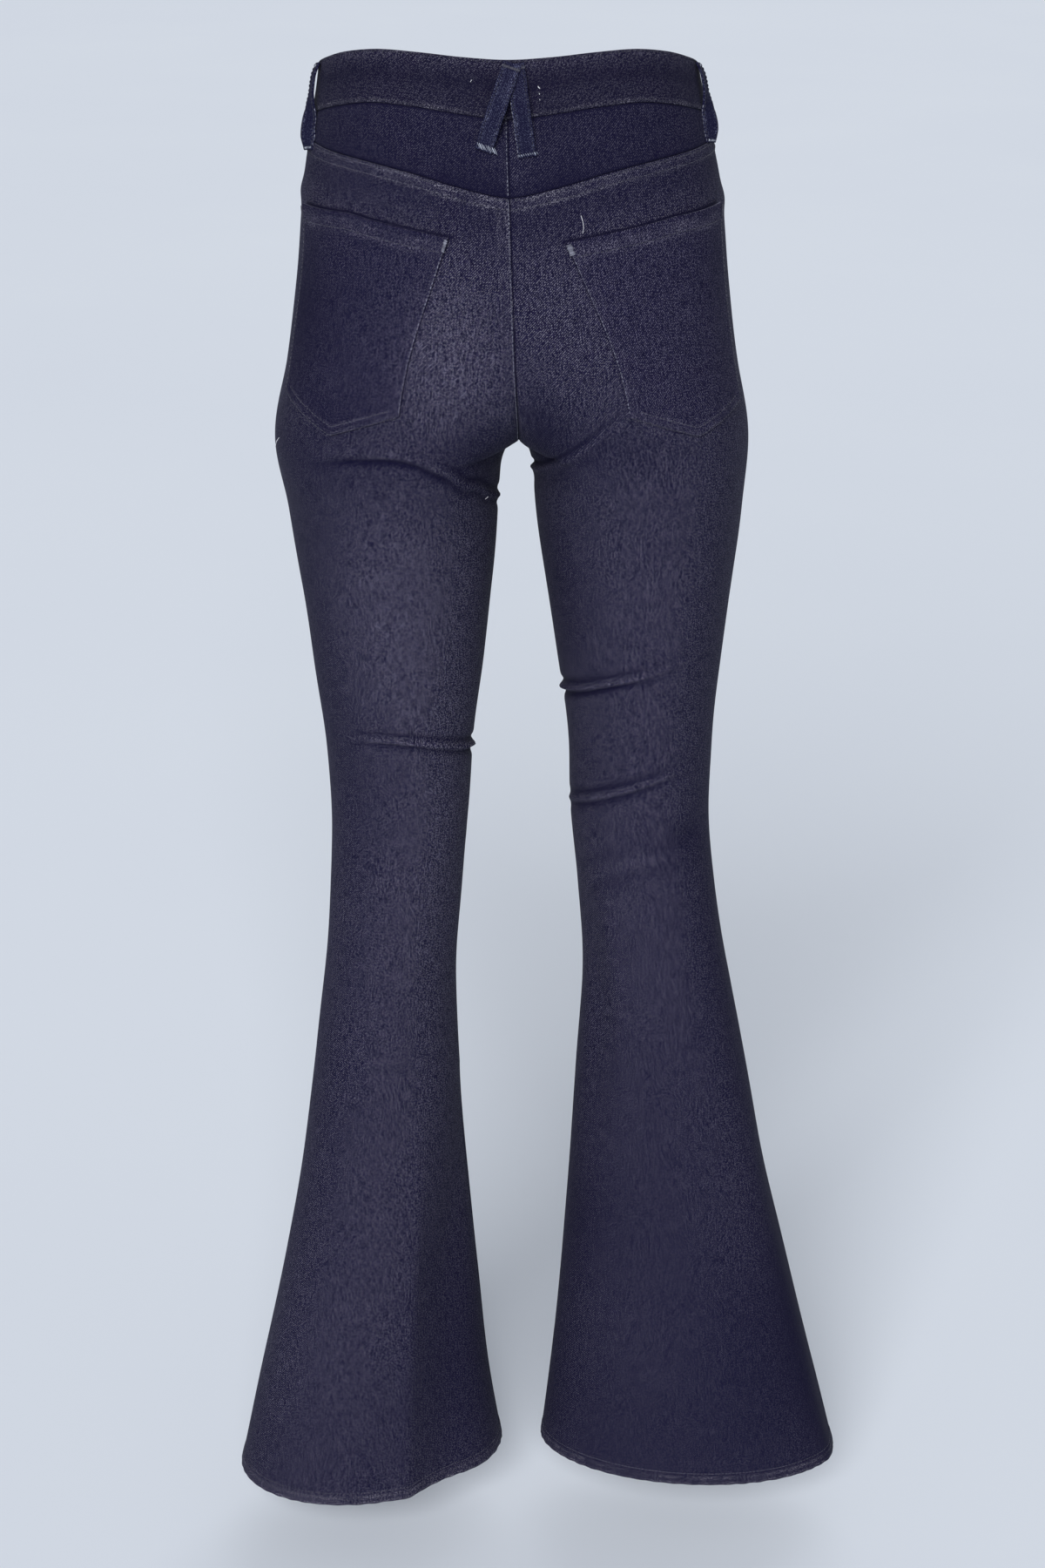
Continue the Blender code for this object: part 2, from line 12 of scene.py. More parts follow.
import bpy
import numpy as np
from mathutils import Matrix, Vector


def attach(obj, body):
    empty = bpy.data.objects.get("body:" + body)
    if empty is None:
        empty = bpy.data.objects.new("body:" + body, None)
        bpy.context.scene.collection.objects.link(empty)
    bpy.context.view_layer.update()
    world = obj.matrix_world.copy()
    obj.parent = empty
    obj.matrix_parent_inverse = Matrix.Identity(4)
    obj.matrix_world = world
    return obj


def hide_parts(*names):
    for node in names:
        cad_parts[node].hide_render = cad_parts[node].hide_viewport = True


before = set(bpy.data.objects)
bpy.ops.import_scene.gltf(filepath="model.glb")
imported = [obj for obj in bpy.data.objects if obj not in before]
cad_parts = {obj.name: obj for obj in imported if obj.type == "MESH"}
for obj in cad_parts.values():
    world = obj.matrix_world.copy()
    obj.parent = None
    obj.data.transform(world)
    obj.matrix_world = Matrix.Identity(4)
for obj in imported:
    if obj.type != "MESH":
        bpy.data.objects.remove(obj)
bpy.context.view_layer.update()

# ---------------------------------------------------------------- the backs
# Seat and back of each leg in one length of stretch denim, right-hand twill, creased
# where the wearer sits and behind the knees. The left one is felled over the right at
# the centre seam, and both stand proud of the yokes that they are stitched over.

CM = 0.01
SIDES = {"left": 1, "right": -1}
CLOTH = 0.12
LINING_DEPTH = 0.15  # the lining side lies this far under the unraised face
HIP, CROTCH = 20.0, 28.0
MERGE_TOP, MERGE_BOTTOM = 20.0, 34.0  # between these the torso turns into two legs
SEAM_REACH = 0.15
CROTCH_ARCH = 2.5
HEM_TOP, HEM = 114.8, 116.0


def table(names, *rows):
    """The rows as one array for each named column."""
    return dict(zip(names.split(), np.array(rows, float).T))


TORSO = table(
    "down  centre  left   right   back   seam  front  square",
    (-1.0, 0.00, 12.75, -12.60, 9.3, 0.3, -9.3, 2.25),
    (4.5, 0.00, 13.60, -13.80, 10.4, 0.3, -10.0, 2.25),
    (10.0, -0.15, 14.50, -15.05, 11.6, 0.4, -10.4, 2.3),
    (16.0, -0.35, 15.05, -15.65, 12.8, 0.5, -10.4, 2.4),
    (22.0, -0.55, 16.00, -16.50, 12.8, 0.6, -9.6, 2.6),
    (28.0, -0.75, 17.00, -17.45, 11.2, 0.6, -8.6, 2.8),
    (34.0, -0.75, 16.10, -17.10, 9.6, 0.6, -8.5, 2.8),
)
LEG_COLUMNS = "down  inner  outer  back  seam  front  turn"
LEGS = {
    1: table(
        LEG_COLUMNS,
        (20.0, 0.30, 15.70, 12.6, 0.6, -9.5, 0.4),
        (28.0, 0.45, 17.00, 11.0, 0.6, -8.6, 0.5),
        (33.0, 0.80, 16.20, 9.7, 0.6, -8.5, 0.5),
        (38.0, 1.15, 15.55, 8.9, 0.5, -8.4, 0.5),
        (45.0, 1.90, 14.72, 7.9, 0.4, -7.9, 0.5),
        (52.0, 2.75, 13.98, 6.6, 0.2, -7.2, 0.6),
        (57.5, 3.15, 13.72, 5.7, 0.0, -6.5, 0.8),
        (64.0, 3.70, 14.00, 5.6, 0.1, -6.0, 1.0),
        (72.0, 4.25, 14.75, 5.9, 0.3, -5.8, 1.4),
        (80.0, 4.05, 15.70, 6.4, 0.5, -5.8, 1.8),
        (90.0, 3.35, 17.15, 7.1, 0.6, -6.1, 2.2),
        (100.0, 2.60, 19.15, 7.9, 0.8, -6.5, 2.6),
        (108.0, 1.95, 20.90, 8.5, 0.9, -6.9, 2.9),
        (116.0, 0.80, 22.60, 9.0, 1.0, -7.3, 3.2),
    ),
    -1: table(
        LEG_COLUMNS,
        (20.0, -1.40, -16.25, 12.6, 0.6, -9.5, 0.2),
        (28.0, -1.60, -17.45, 11.0, 0.6, -8.6, 0.2),
        (33.0, -1.95, -17.15, 9.7, 0.6, -8.5, 0.2),
        (38.0, -2.60, -16.65, 8.9, 0.5, -8.4, 0.2),
        (45.0, -3.65, -15.90, 7.9, 0.4, -7.9, 0.2),
        (52.0, -4.50, -15.45, 6.6, 0.2, -7.2, 0.2),
        (57.5, -4.70, -15.35, 5.6, 0.0, -6.5, 0.3),
        (64.0, -5.30, -16.00, 5.4, 0.0, -6.0, 0.5),
        (72.0, -5.75, -17.40, 5.4, -0.1, -5.8, 0.8),
        (80.0, -5.30, -19.10, 5.5, -0.2, -5.8, 1.0),
        (90.0, -4.75, -21.15, 5.7, -0.3, -6.0, 1.2),
        (100.0, -4.10, -23.60, 6.0, -0.4, -6.3, 1.4),
        (108.0, -3.45, -25.55, 6.2, -0.4, -6.5, 1.5),
        (116.0, -2.60, -27.55, 6.4, -0.4, -6.8, 1.6),
    ),
}
YOKE_SEAM = table(
    "s     down",
    (0.00, 9.00),
    (0.10, 8.75),
    (0.17, 8.20),
    (0.24, 7.45),
    (0.31, 6.92),
    (0.42, 6.52),
    (0.50, 6.35),
)


def at(columns, name, place, key="down"):
    """A column of a table at any place, on a smooth curve through its rows."""
    x, y = columns[key], columns[name]
    slope = np.gradient(y, x)
    i = np.clip(np.searchsorted(x, place) - 1, 0, len(x) - 2)
    step = x[i + 1] - x[i]
    t = (place - x[i]) / step
    rise = (1 + 2 * t) * (1 - t) ** 2 * y[i] + t**2 * (3 - 2 * t) * y[i + 1]
    return rise + step * t * (1 - t) * ((1 - t) * slope[i] - t * slope[i + 1])


def depth_of(columns, down, share):
    """How far back a section lies: its front at -1, its side seam at 0, its back at 1."""
    seam = at(columns, "seam", down)
    far = np.where(share > 0, at(columns, "back", down), at(columns, "front", down))
    return seam + (far - seam) * np.abs(share)


def form(leg, s, down):
    """Points of the worn shape without its folds, in cm."""
    s, down = np.broadcast_arrays(np.asarray(s, float), np.asarray(down, float))
    past_centre = (down < CROTCH) & ((s < 0) | (s > 1))
    s = np.where(past_centre, np.where(s < 0, -s, 2 - s), np.where(s == 1, s, s % 1.0))
    sections = LEGS[leg]
    centre = at(TORSO, "centre", down)
    side = at(TORSO, "left" if leg > 0 else "right", down)
    inner, outer = at(sections, "inner", down), at(sections, "outer", down)
    out_share = np.sin(np.pi * s) ** 2
    square = at(TORSO, "square", down)
    depth = np.clip(1 - out_share**square, 0, None) ** (1 / square) * np.where(s > 0.5, -1, 1)
    torso_x = centre + (side - centre) * out_share
    torso_y = depth_of(TORSO, down, depth)
    leg_x = inner + (outer - inner) * out_share
    leg_y = depth_of(sections, down, np.sin(2 * np.pi * s))
    leg_y = leg_y + at(sections, "turn", down) * (out_share - 0.5)

    # The seat seam curves under; away from it the torso turns into a leg more slowly.
    fallen = (down - HIP) / (CROTCH - HIP)
    at_seam = 1 - np.sqrt(1 - np.clip(fallen, 0, 1) ** 2)
    passed = np.clip((down - MERGE_TOP) / (MERGE_BOTTOM - MERGE_TOP), 0, 1)
    away = passed**2 * (3 - 2 * passed)
    nearness = np.exp(-((out_share / SEAM_REACH) ** 2))
    leg_share = nearness * at_seam + (1 - nearness) * away
    x = (1 - leg_share) * torso_x + leg_share * leg_x
    y = (1 - leg_share) * torso_y + leg_share * leg_y

    # Just under that seam the two legs draw together into a rounded arch.
    fork = depth_of(sections, CROTCH, 0.0) - at(sections, "turn", CROTCH) / 2
    torso_down = np.minimum(down, CROTCH)
    seat, belly = at(TORSO, "back", torso_down), at(TORSO, "front", torso_down)
    from_fork = np.clip((y - fork) / (np.where(y > fork, seat, belly) - fork), 0, 1)
    below_seam = (fallen - np.sqrt(1 - from_fork**2)) * (CROTCH - HIP)
    opened = np.sqrt(1 - (1 - np.clip(below_seam / CROTCH_ARCH, 0, 1)) ** 2)
    x = x - (1 - opened) * nearness * leg_share * (inner - centre)
    x = np.where(past_centre, 2 * centre - x, x)
    return np.stack([x, y, -down], -1)


def unit(vectors):
    """The same directions, each of length one."""
    return vectors / np.linalg.norm(vectors, axis=-1, keepdims=True)


def outward(leg, s, down):
    """Unit normals of the worn shape."""
    step_s, step_down = 0.004, 0.2
    around = form(leg, s + step_s, down) - form(leg, s - step_s, down)
    along = form(leg, s, down + step_down) - form(leg, s, down - step_down)
    return unit(np.cross(around, along) * leg)


# Creases across the cloth: (s, down, strength) along each, then the height and width of its
# ridge, and the depth, width and offset of the hollow above it and of the one below it.
LAP_FOLD = ((0.12, 0.5), (0.22, 0.6, 0.9), (0.12, 0.7, 1.1))
UPPER_LAP_FOLD = ((0.08, 0.5), (0.12, 0.6, 0.9), (0.06, 0.7, 1))
ABOVE_KNEE_FOLD = ((0.12, 0.7), (0.08, 0.7, 1.1), (0.08, 0.7, 1.1))
CREASES = {
    1: (
        # the roll under the seat
        (((-0.05, 33.6, 0.3), (0, 32.6, 0.9), (0.08, 31, 1), (0.1, 30.3, 1), (0.132, 29.75, 1),
          (0.165, 28.5, 1), (0.192, 27.8, 0.9), (0.233, 26.9, 0.45), (0.27, 26.75, 0.2),
          (0.32, 26.9, 0)),
         ((0.17, 0.24), (0.16, 0.3, 0.48), (0.13, 0.3, 0.5))),
        # its outer half, softer
        (((0.12, 29.6, 0), (0.165, 28.2, 0.5), (0.2, 27.2, 1), (0.233, 26.75, 1), (0.267, 26.7, 1),
          (0.302, 26.8, 0.9), (0.333, 27.1, 0.5), (0.38, 27.6, 0)),
         ((0.14, 0.6), (0, 0.5, 1), (0.2, 0.3, 0.6))),
        # behind the knee
        (((-0.06, 53.2, 0.2), (-0.02, 52.7, 0.8), (0.003, 52.4, 1.1), (0.09, 51.36, 1),
          (0.167, 50.36, 1), (0.223, 49.76, 1), (0.277, 49.5, 0.8), (0.323, 49.6, 0.35),
          (0.38, 50.1, 0)),
         ((0.26, 0.22), (0.2, 0.3, 0.46), (0.22, 0.28, 0.44))),
        # in front, below the knee
        (((0.6, 58, 0), (0.72, 59.2, 0.7), (0.82, 60, 1), (0.92, 60.2, 0.6), (1, 60.2, 0)),
         ((0.16, 0.9), (0.12, 0.8, 1.3), (0.08, 0.9, 1.4))),
        # over the lap to the crotch
        (((0.62, 24.6, 0), (0.7, 25.8, 0.7), (0.8, 27.6, 1), (0.9, 29.4, 1), (0.97, 30.6, 0.6),
          (1, 31.2, 0)),
         LAP_FOLD),
        # a shorter one above it
        (((0.74, 22, 0), (0.82, 23.2, 0.8), (0.9, 24.8, 1), (0.96, 26.2, 0.5), (1, 27, 0)),
         UPPER_LAP_FOLD),
        # in front, above the knee
        (((0.66, 52.2, 0), (0.74, 51.6, 0.7), (0.84, 51, 1), (0.95, 50.8, 0.5), (1, 51, 0)),
         ABOVE_KNEE_FOLD),
    ),
    -1: (
        # the roll under the seat
        (((-0.05, 31.4, 0.2), (0.005, 30.3, 1.1), (0.067, 29.42, 1), (0.105, 28.42, 0.8),
          (0.153, 26.95, 0.7), (0.177, 26.15, 0.7), (0.198, 25.28, 0.6), (0.233, 23.88, 0.3),
          (0.26, 23, 0)),
         ((0.18, 0.22), (0.2, 0.2, 0.36), (0.05, 0.5, 0.8))),
        # behind the knee
        (((-0.06, 48.3, 0.2), (-0.02, 47.8, 0.8), (0.005, 47.5, 1.1), (0.123, 45.96, 1),
          (0.187, 44.96, 1), (0.237, 44.36, 0.8), (0.285, 43.76, 0.35), (0.328, 43.23, 0.18),
          (0.383, 42.9, 0.1), (0.44, 42.9, 0)),
         ((0.24, 0.22), (0.16, 0.3, 0.46), (0.24, 0.28, 0.44))),
        # below the knee
        (((-0.03, 57.4, 0), (0.02, 56.6, 0.5), (0.072, 55.97, 0.9), (0.153, 54.83, 1),
          (0.215, 53.9, 1), (0.272, 53.1, 0.7), (0.333, 52.5, 0.25), (0.387, 52.4, 0.08),
          (0.43, 52.6, 0)),
         ((0.22, 0.24), (0.18, 0.34, 0.5), (0.18, 0.32, 0.5))),
        # on the calf, outer side
        (((0.06, 63.2, 0), (0.11, 62.04, 0.7), (0.17, 60.9, 1), (0.232, 60.03, 1),
          (0.337, 59.57, 0.5), (0.38, 59.4, 0)),
         ((0.09, 0.5), (0.07, 0.6, 0.9), (0.07, 0.6, 0.9))),
        # in front, below the knee
        (((0.6, 60.2, 0), (0.72, 59.3, 0.7), (0.82, 58.4, 1), (0.92, 57.8, 0.6), (1, 57.4, 0)),
         ((0.14, 0.9), (0.12, 0.8, 1.3), (0.08, 0.9, 1.4))),
        # over the lap to the crotch
        (((0.64, 25, 0), (0.72, 26.2, 0.8), (0.82, 27.8, 1), (0.91, 29.3, 1), (0.97, 30.2, 0.6),
          (1, 30.8, 0)),
         LAP_FOLD),
        # a shorter one above it
        (((0.76, 21.6, 0), (0.84, 22.7, 0.8), (0.92, 24.2, 1), (0.97, 25.4, 0.5), (1, 26, 0)),
         UPPER_LAP_FOLD),
        # in front, above the knee
        (((0.66, 47, 0), (0.76, 47.9, 0.7), (0.86, 48.6, 1), (0.95, 48.8, 0.5), (1, 48.8, 0)),
         ABOVE_KNEE_FOLD),
    ),
}

# Folds that hang down a leg: (down, s, strength) along each, then the height and width of its
# ridge, and the depth, offset round the leg and width of the slack beside it.
DRAPES = {
    1: (
        (((80, 0.165, 0), (88, 0.176, 0.6), (95, 0.188, 1), (103, 0.193, 1), (117, 0.203, 1)),
         ((0.3, 0.9), (0.95, -3.6, 3))),
        (((60, 0.3, 0), (68, 0.3, 1), (76, 0.29, 0.6), (84, 0.28, 0)),
         ((0.05, 2.5), (0.12, 4, 2.4))),
        (((84, 0.66, 0), (94, 0.67, 0.7), (104, 0.68, 1), (117, 0.69, 1)),
         ((0.3, 1.6), (0.5, 4.4, 2.8))),
        (((88, 0.9, 0), (98, 0.89, 0.8), (117, 0.88, 1)),
         ((0.25, 1.6), (0.3, -4, 2.6))),
    ),
    -1: (
        (((72, 0.39, 0), (79, 0.398, 0.5), (87, 0.416, 1), (96, 0.424, 1), (104, 0.43, 1),
          (117, 0.442, 1)),
         ((0.1, 1.8), (0.22, 3.4, 2.6))),
        (((60, 0.15, 0), (67, 0.15, 1), (76, 0.165, 0.9), (88, 0.15, 0)),
         ((0.1, 0.8), (0.3, -2.2, 1.4))),
        (((82, 0.69, 0), (92, 0.68, 0.7), (104, 0.67, 1), (117, 0.66, 1)),
         ((0.3, 1.6), (0.45, 4.2, 2.8))),
        (((90, 0.87, 0), (100, 0.88, 0.8), (117, 0.89, 1)),
         ((0.22, 1.6), (0.3, -4, 2.6))),
    ),
}

# Shallow hollows (negative) and swellings: centre, reach across and down, depth.
HOLLOWS = {
    1: (
        (0.33, 57, 1.8, 4, -0.16), (0.16, 20, 3.6, 5, 0.1), (0.385, 95, 2.6, 2.2, 0.1),
        (0.49, 10, 1.6, 0.8, 0.15),
    ),
    -1: (
        (0.365, 58.4, 1.3, 1.1, -0.26), (0.11, 93, 4.5, 4.5, -0.2), (0.1, 22.5, 1.8, 2.4, -0.1),
        (0.49, 10.6, 1.6, 0.8, 0.15),
    ),
}


def breadth(leg, down):
    """How many cm of cloth one unit of s stands for."""
    down = np.maximum(down, HIP)
    return 2.85 * np.abs(at(LEGS[leg], "outer", down) - at(LEGS[leg], "inner", down))


def bell(distance, width):
    """A soft bump: 1 in its middle, nearly 0 two widths away."""
    return np.exp(-((distance / width) ** 2))


def smooth_curve(x, knots, values):
    """A smooth curve through the knots, level before the first and after the last."""
    columns = {"x": np.asarray(knots), "y": np.asarray(values)}
    return at(columns, "y", np.clip(x, knots[0], knots[-1]), "x")


def creases(leg, s, down):
    """How far the creases lift the cloth, in cm."""
    step = 0.01
    lift = np.zeros(np.broadcast(s, down).shape)
    for path, (ridge, above, below) in CREASES[leg]:
        path_s, path_down, strength = np.array(path).T
        crest = smooth_curve(s, path_s, path_down)
        slope = (smooth_curve(s + step, path_s, path_down) - crest) / (step * breadth(leg, down))
        away = (down - crest) / np.sqrt(1 + slope**2)
        on_path = (s >= path_s[0]) & (s <= path_s[-1])
        amount = np.where(on_path, smooth_curve(s, path_s, strength), 0)
        profile = ridge[0] * bell(away, ridge[1])
        profile = profile - above[0] * bell(away + above[2], above[1])
        profile = profile - below[0] * bell(away - below[2], below[1])
        lift = lift + np.clip(amount, 0, None) * profile
    return lift


def drapes(leg, s, down):
    """How far the hanging folds and hollows lift the cloth, in cm."""
    wide = breadth(leg, down)
    lift = np.zeros(np.broadcast(s, down).shape)
    for path, (ridge, slack) in DRAPES[leg]:
        path_down, path_s, strength = np.array(path).T
        away = (s - smooth_curve(down, path_down, path_s)) * wide
        amount = np.clip(smooth_curve(down, path_down, strength), 0, None)
        lift = lift + amount * ridge[0] * bell(away, ridge[1])
        lift = lift - amount * slack[0] * bell(away - slack[1], slack[2])
    return lift + spots(HOLLOWS[leg], s, down, wide)


def spots(places, s, down, wide):
    """The sum of soft round spots: centre, reach across and down, amount."""
    total = 0
    for centre_s, centre_down, across, along, amount in places:
        spread = bell((s - centre_s) * wide, across) * bell(down - centre_down, along)
        total = total + amount * spread
    return total


# Slow unevenness that every worn cloth has, as waves of 4 to 15 cm.
chance = np.random.default_rng(11)
WAVE_RANGES = ((0.4, 1.5), (-0.9, 0.9), (0, 6.3))  # across, along, phase
WAVES = [[chance.uniform(*span) for span in WAVE_RANGES] for _ in range(9)]
WAVE_HEIGHT = 0.012
LEGS_APART = CROTCH + 1.5  # below this drop a crease runs on past the inseam


def relief(leg, s, down):
    """Everything that lifts the cloth off the worn shape, also past the inseam."""
    s, down = np.broadcast_arrays(np.asarray(s, float), np.asarray(down, float))
    lift = creases(leg, s, down) + drapes(leg, s, down)
    for turn, near_it in ((-1, s > 0.5), (1, s < 0.5)):
        beyond = creases(leg, s + turn, down) + drapes(leg, s + turn, down)
        lift = lift + np.where(near_it & (down > LEGS_APART), beyond, 0)
    around = np.sin(2 * np.pi * s) * 7 * leg
    for across, along, phase in WAVES:
        lift = lift + WAVE_HEIGHT * np.sin(across * around + along * down + phase)
    return lift


def arc(points, axis):
    """Length along the cloth from the first row or column, in cm."""
    steps = np.linalg.norm(np.diff(points, axis=axis), axis=-1)
    zero = np.zeros_like(np.take(steps, [0], axis=axis))
    return np.concatenate([zero, np.cumsum(steps, axis=axis)], axis=axis)


def runs(*spans):
    """Distances from span to span: (start, end, step)."""
    parts = [np.arange(start, end - step / 2, step) for start, end, step in spans]
    return np.concatenate([*parts, [spans[-1][1]]])


FELLED_WIDTH, FELLED_HEIGHT = 0.92, 0.08
STITCH_ROWS = (0.16, 0.76)
UNSEWN = 9.0  # added to a gap where no stitching rubs
FOLD_DROP, FOLD_REACH = 0.11, 0.20  # how a turned-under edge rounds off


def rolled(gap, s, down):
    """A seam edge that turns under: how far the face rises at a gap from it, the gap for
    the wear of its stitching, and how strong that wear is."""
    drop = FOLD_DROP * np.clip(1 - gap / FOLD_REACH, 0, 1) ** 2
    return -drop, gap + UNSEWN, 0 * gap


def felled(gap, s, down, height=FELLED_HEIGHT):
    """A seam edge folded over and stitched down twice."""
    edge = 1 - 0.7 * np.clip(1 - gap / 0.08, 0, 1) ** 2
    fall = np.clip((FELLED_WIDTH + 0.12 - gap) / 0.22, 0, 1)
    pressed = 0.40 * bell(gap - STITCH_ROWS[0], 0.08) + 0.45 * bell(gap - STITCH_ROWS[1], 0.09)
    rise = height * (edge * fall**2 * (3 - 2 * fall) - pressed)
    return rise, gap, 0 * gap + 0.20 + 0.68 * bell(s - 0.06, 0.17)


def felled_seat(gap, s, down):
    """Felled down to the crotch, plain along the inseam."""
    share = np.clip((CROTCH - down) / 1.5, 0, 1)
    plain, stitched = rolled(gap, s, down), felled(gap, s, down, height=0.06)
    rise = share * stitched[0] + (1 - share) * plain[0]
    worn = 0.16 + 0.75 * bell(down - YOKE_SEAM["down"][0], 2.0)
    return rise, gap + UNSEWN * (1 - share), worn + 0 * gap


# Places that are drawn paler (positive) or darker, partly where the indigo has faded or
# kept its dye and partly painted light and painted shade where the cloth faces towards or
# away from the light: centre, reach across and down, amount.
FADED_AND_SHADED = {
    1: (
        (0.175, 20.5, 3.2, 5.5, 0.42), (0.24, 40, 5, 11, 0.26), (0.1, 36, 2.6, 7, 0.08),
        (0.09, 103, 5.8, 13, -0.28), (0.3, 54, 4, 9, -0.14), (0.145, 57, 4.2, 15, 0.27),
        (0.12, 27, 3, 3, -0.34), (0.03, 26.4, 2.2, 1.8, -0.16), (0.43, 17, 3, 5, -0.24),
        (0.26, 84, 6, 16, 0.1), (0.43, 41, 3.2, 14, -0.29), (0.3, 27.5, 6.5, 3.4, -0.26),
        (0.36, 33, 2.4, 3, -0.1), (0.38, 80, 5, 17, -0.19),
    ),
    -1: (
        (0.13, 18, 3.4, 5, 0.08), (0.1, 25.5, 2.6, 3.6, -0.36), (0.27, 37, 5.5, 9, 0.03),
        (0.365, 58.4, 1.8, 1.8, -0.18), (0.1, 93, 5, 5, -0.1), (0.47, 104, 3.4, 16, -0.36),
        (0.25, 82, 4.5, 14, -0.11), (0.04, 88, 3.2, 20, -0.14), (0.43, 14, 3, 5, -0.15),
        (0.4, 38, 2.5, 16, -0.16), (0.36, 103, 6, 10, -0.18), (0.06, 38, 3.6, 8, -0.26),
        (0.14, 48, 2.2, 4, 0.06), (0.05, 52, 1.6, 6, -0.1), (0.44, 70, 3.6, 18, -0.32),
        (0.22, 26.5, 3, 2, -0.18),
    ),
}


# Creases are drawn paler on their crests, for wear and as a painted highlight, and darker in their
# hollows, for dye that stays there and as painted shade.
CREST_FADE_AND_LIGHT, HOLLOW_DYE_AND_SHADE = 1.3, 2.4  # for each cm that a crease rises or sinks
CALF, FLARE = 70, 102  # the drops from which the legs get darker


def fading_and_shade(leg, s, down):
    """How much paler or darker than the rest the cloth is drawn: faded or dark-kept indigo, with
    painted light and painted shade.
    """
    mirrored = np.where(s > 0.5, 1 - s, s)
    amount = spots(FADED_AND_SHADED[leg], mirrored, down, breadth(leg, down))
    folds = creases(leg, s, down)
    amount = amount + np.clip(folds * np.where(folds > 0, CREST_FADE_AND_LIGHT, HOLLOW_DYE_AND_SHADE), -0.60, 0.35)
    # Painted shade in a strip just below the yoke seam, on the backs.
    under_yoke = down - np.interp(mirrored, YOKE_SEAM["s"], YOKE_SEAM["down"]) - 1.5
    amount = amount - 0.27 * bell(under_yoke, np.where(mirrored > 0.2, 1.5, 2.3)) * (s < 0.5)
    # Painted shade: below CALF and below FLARE the legs are drawn darker, the right one more, for
    # the light that falls off lower down.
    amount = amount - (0.05 if leg > 0 else 0.20) * np.clip((down - CALF) / 30, 0, 1)
    return amount - 0.10 * np.clip((down - FLARE) / 9, 0, 1)


def add_mesh(name, points, faces, finishes):
    """A smooth mesh in the scene, from points in cm."""
    mesh = bpy.data.meshes.new(name)
    mesh.from_pydata((points.reshape(-1, 3) * CM).tolist(), [], faces)
    for finish in finishes:
        mesh.materials.append(finish)
    mesh.shade_smooth()
    made = bpy.data.objects.new(name, mesh)
    bpy.context.scene.collection.objects.link(made)
    return made


def cloth_piece(name, face, lining, flat, marks, finishes, ring=False, flip=False):
    """A closed piece of cloth from its face and its lining side, as grids of points in
    cm. flat gives each point's place in the uncut cloth, in metres. On a ring it has one
    more column than the points."""
    rows, columns = face.shape[:2]
    count = 2 * rows
    flat = np.concatenate([flat, flat[::-1]])
    level, place = np.meshgrid(np.arange(count), np.arange(columns + ring - 1), indexing="ij")
    under, beyond = (level + 1) % count, place + 1
    corners = [(level, place), (level, beyond), (under, beyond), (under, place)]
    quads = np.stack([i * columns + j % columns for i, j in corners], -1).reshape(-1, 4)
    quad_flat = np.stack([flat[i, j] for i, j in corners], -2).reshape(-1, 4, 2)
    side = np.where(level < rows, 0, 1).reshape(-1)
    if not ring:
        k = np.arange(rows - 1)
        cap = np.stack([k, k + 1, count - 2 - k, count - 1 - k], -1)
        for j, turned in ((0, cap), (columns - 1, cap[:, ::-1])):
            quads = np.concatenate([quads, turned * columns + j])
            quad_flat = np.concatenate([quad_flat, flat[turned, j]])
            side = np.concatenate([side, 0 * k])
    if flip:
        quads, quad_flat = quads[:, ::-1], quad_flat[:, ::-1]
    piece = add_mesh(name, np.concatenate([face, lining[::-1]]), quads.tolist(), finishes)
    mesh = piece.data
    mesh.uv_layers.new(name="cloth").data.foreach_set("uv", quad_flat.reshape(-1))
    for mark, values in marks.items():
        values = np.broadcast_to(values, face.shape[:2])
        both = np.concatenate([values, values[::-1]]).astype(np.float32)
        mesh.attributes.new(mark, "FLOAT", "POINT").data.foreach_set("value", both.reshape(-1))
    mesh.polygons.foreach_set("material_index", side.astype(np.int32))
    mesh.set_sharp_from_angle(angle=math.radians(55))
    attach(piece, "root")
    return piece


def sew_panel(name, leg, s, down, edges, finishes, fade_and_shade=0.0, out=0.0, gape=0.0, tuck=0.0):
    """One panel of a leg or the torso. edges says how its top, first, last and bottom
    edges are finished, and tuck how far its top goes on past the seam, into the band.
    Returns the piece and what its stitching needs."""
    s, down = np.broadcast_arrays(s, down)
    base, normal = form(leg, s, down), outward(leg, s, down)
    body = base + normal * (relief(leg, s, down) + out)[..., None]
    around, along = arc(body, 1), arc(body, 0)
    body = body + normal * (gape * np.clip(1 - along / 2.4, 0, 1) ** 2)[..., None]
    gaps = {
        "top": along - tuck,
        "first": around,
        "last": around[:, -1:] - around,
        "bottom": along[-1:] - along,
    }
    finished = [finish(gaps[edge], s, down) for edge, finish in edges.items()]
    raised = sum(rise for rise, _, _ in finished)
    stitched = np.stack([gap for _, gap, _ in finished])
    nearest = stitched.argmin(axis=0)[None]
    seam = np.take_along_axis(stitched, nearest, 0)[0]
    worn = np.take_along_axis(np.stack([wear for _, _, wear in finished]), nearest, 0)[0]
    face = body + normal * raised[..., None]
    lining = body - normal * LINING_DEPTH
    middle = int(np.argmin(np.abs(s[0] - s[0].mean())))
    flat = np.stack([-leg * (around - around[:, middle : middle + 1]) + 7 * leg, down], -1) * CM
    # Painted shade: the cloth is drawn darker within a few mm of each turned-under edge, where the
    # next piece laps over it.
    recess_shade = sum(0.45 * bell(gaps[edge], 0.13) for edge, finish in edges.items() if finish is rolled)
    shade = fading_and_shade(leg, s, down) + fade_and_shade - recess_shade
    marks = {"seam": np.minimum(seam, 3.0) * CM, "wear": worn, "fade_and_shade": shade}
    piece = cloth_piece(name, face, lining, flat, marks, finishes, flip=leg < 0)
    return piece, {"face": face, "normal": normal, "around": around, "along": along}


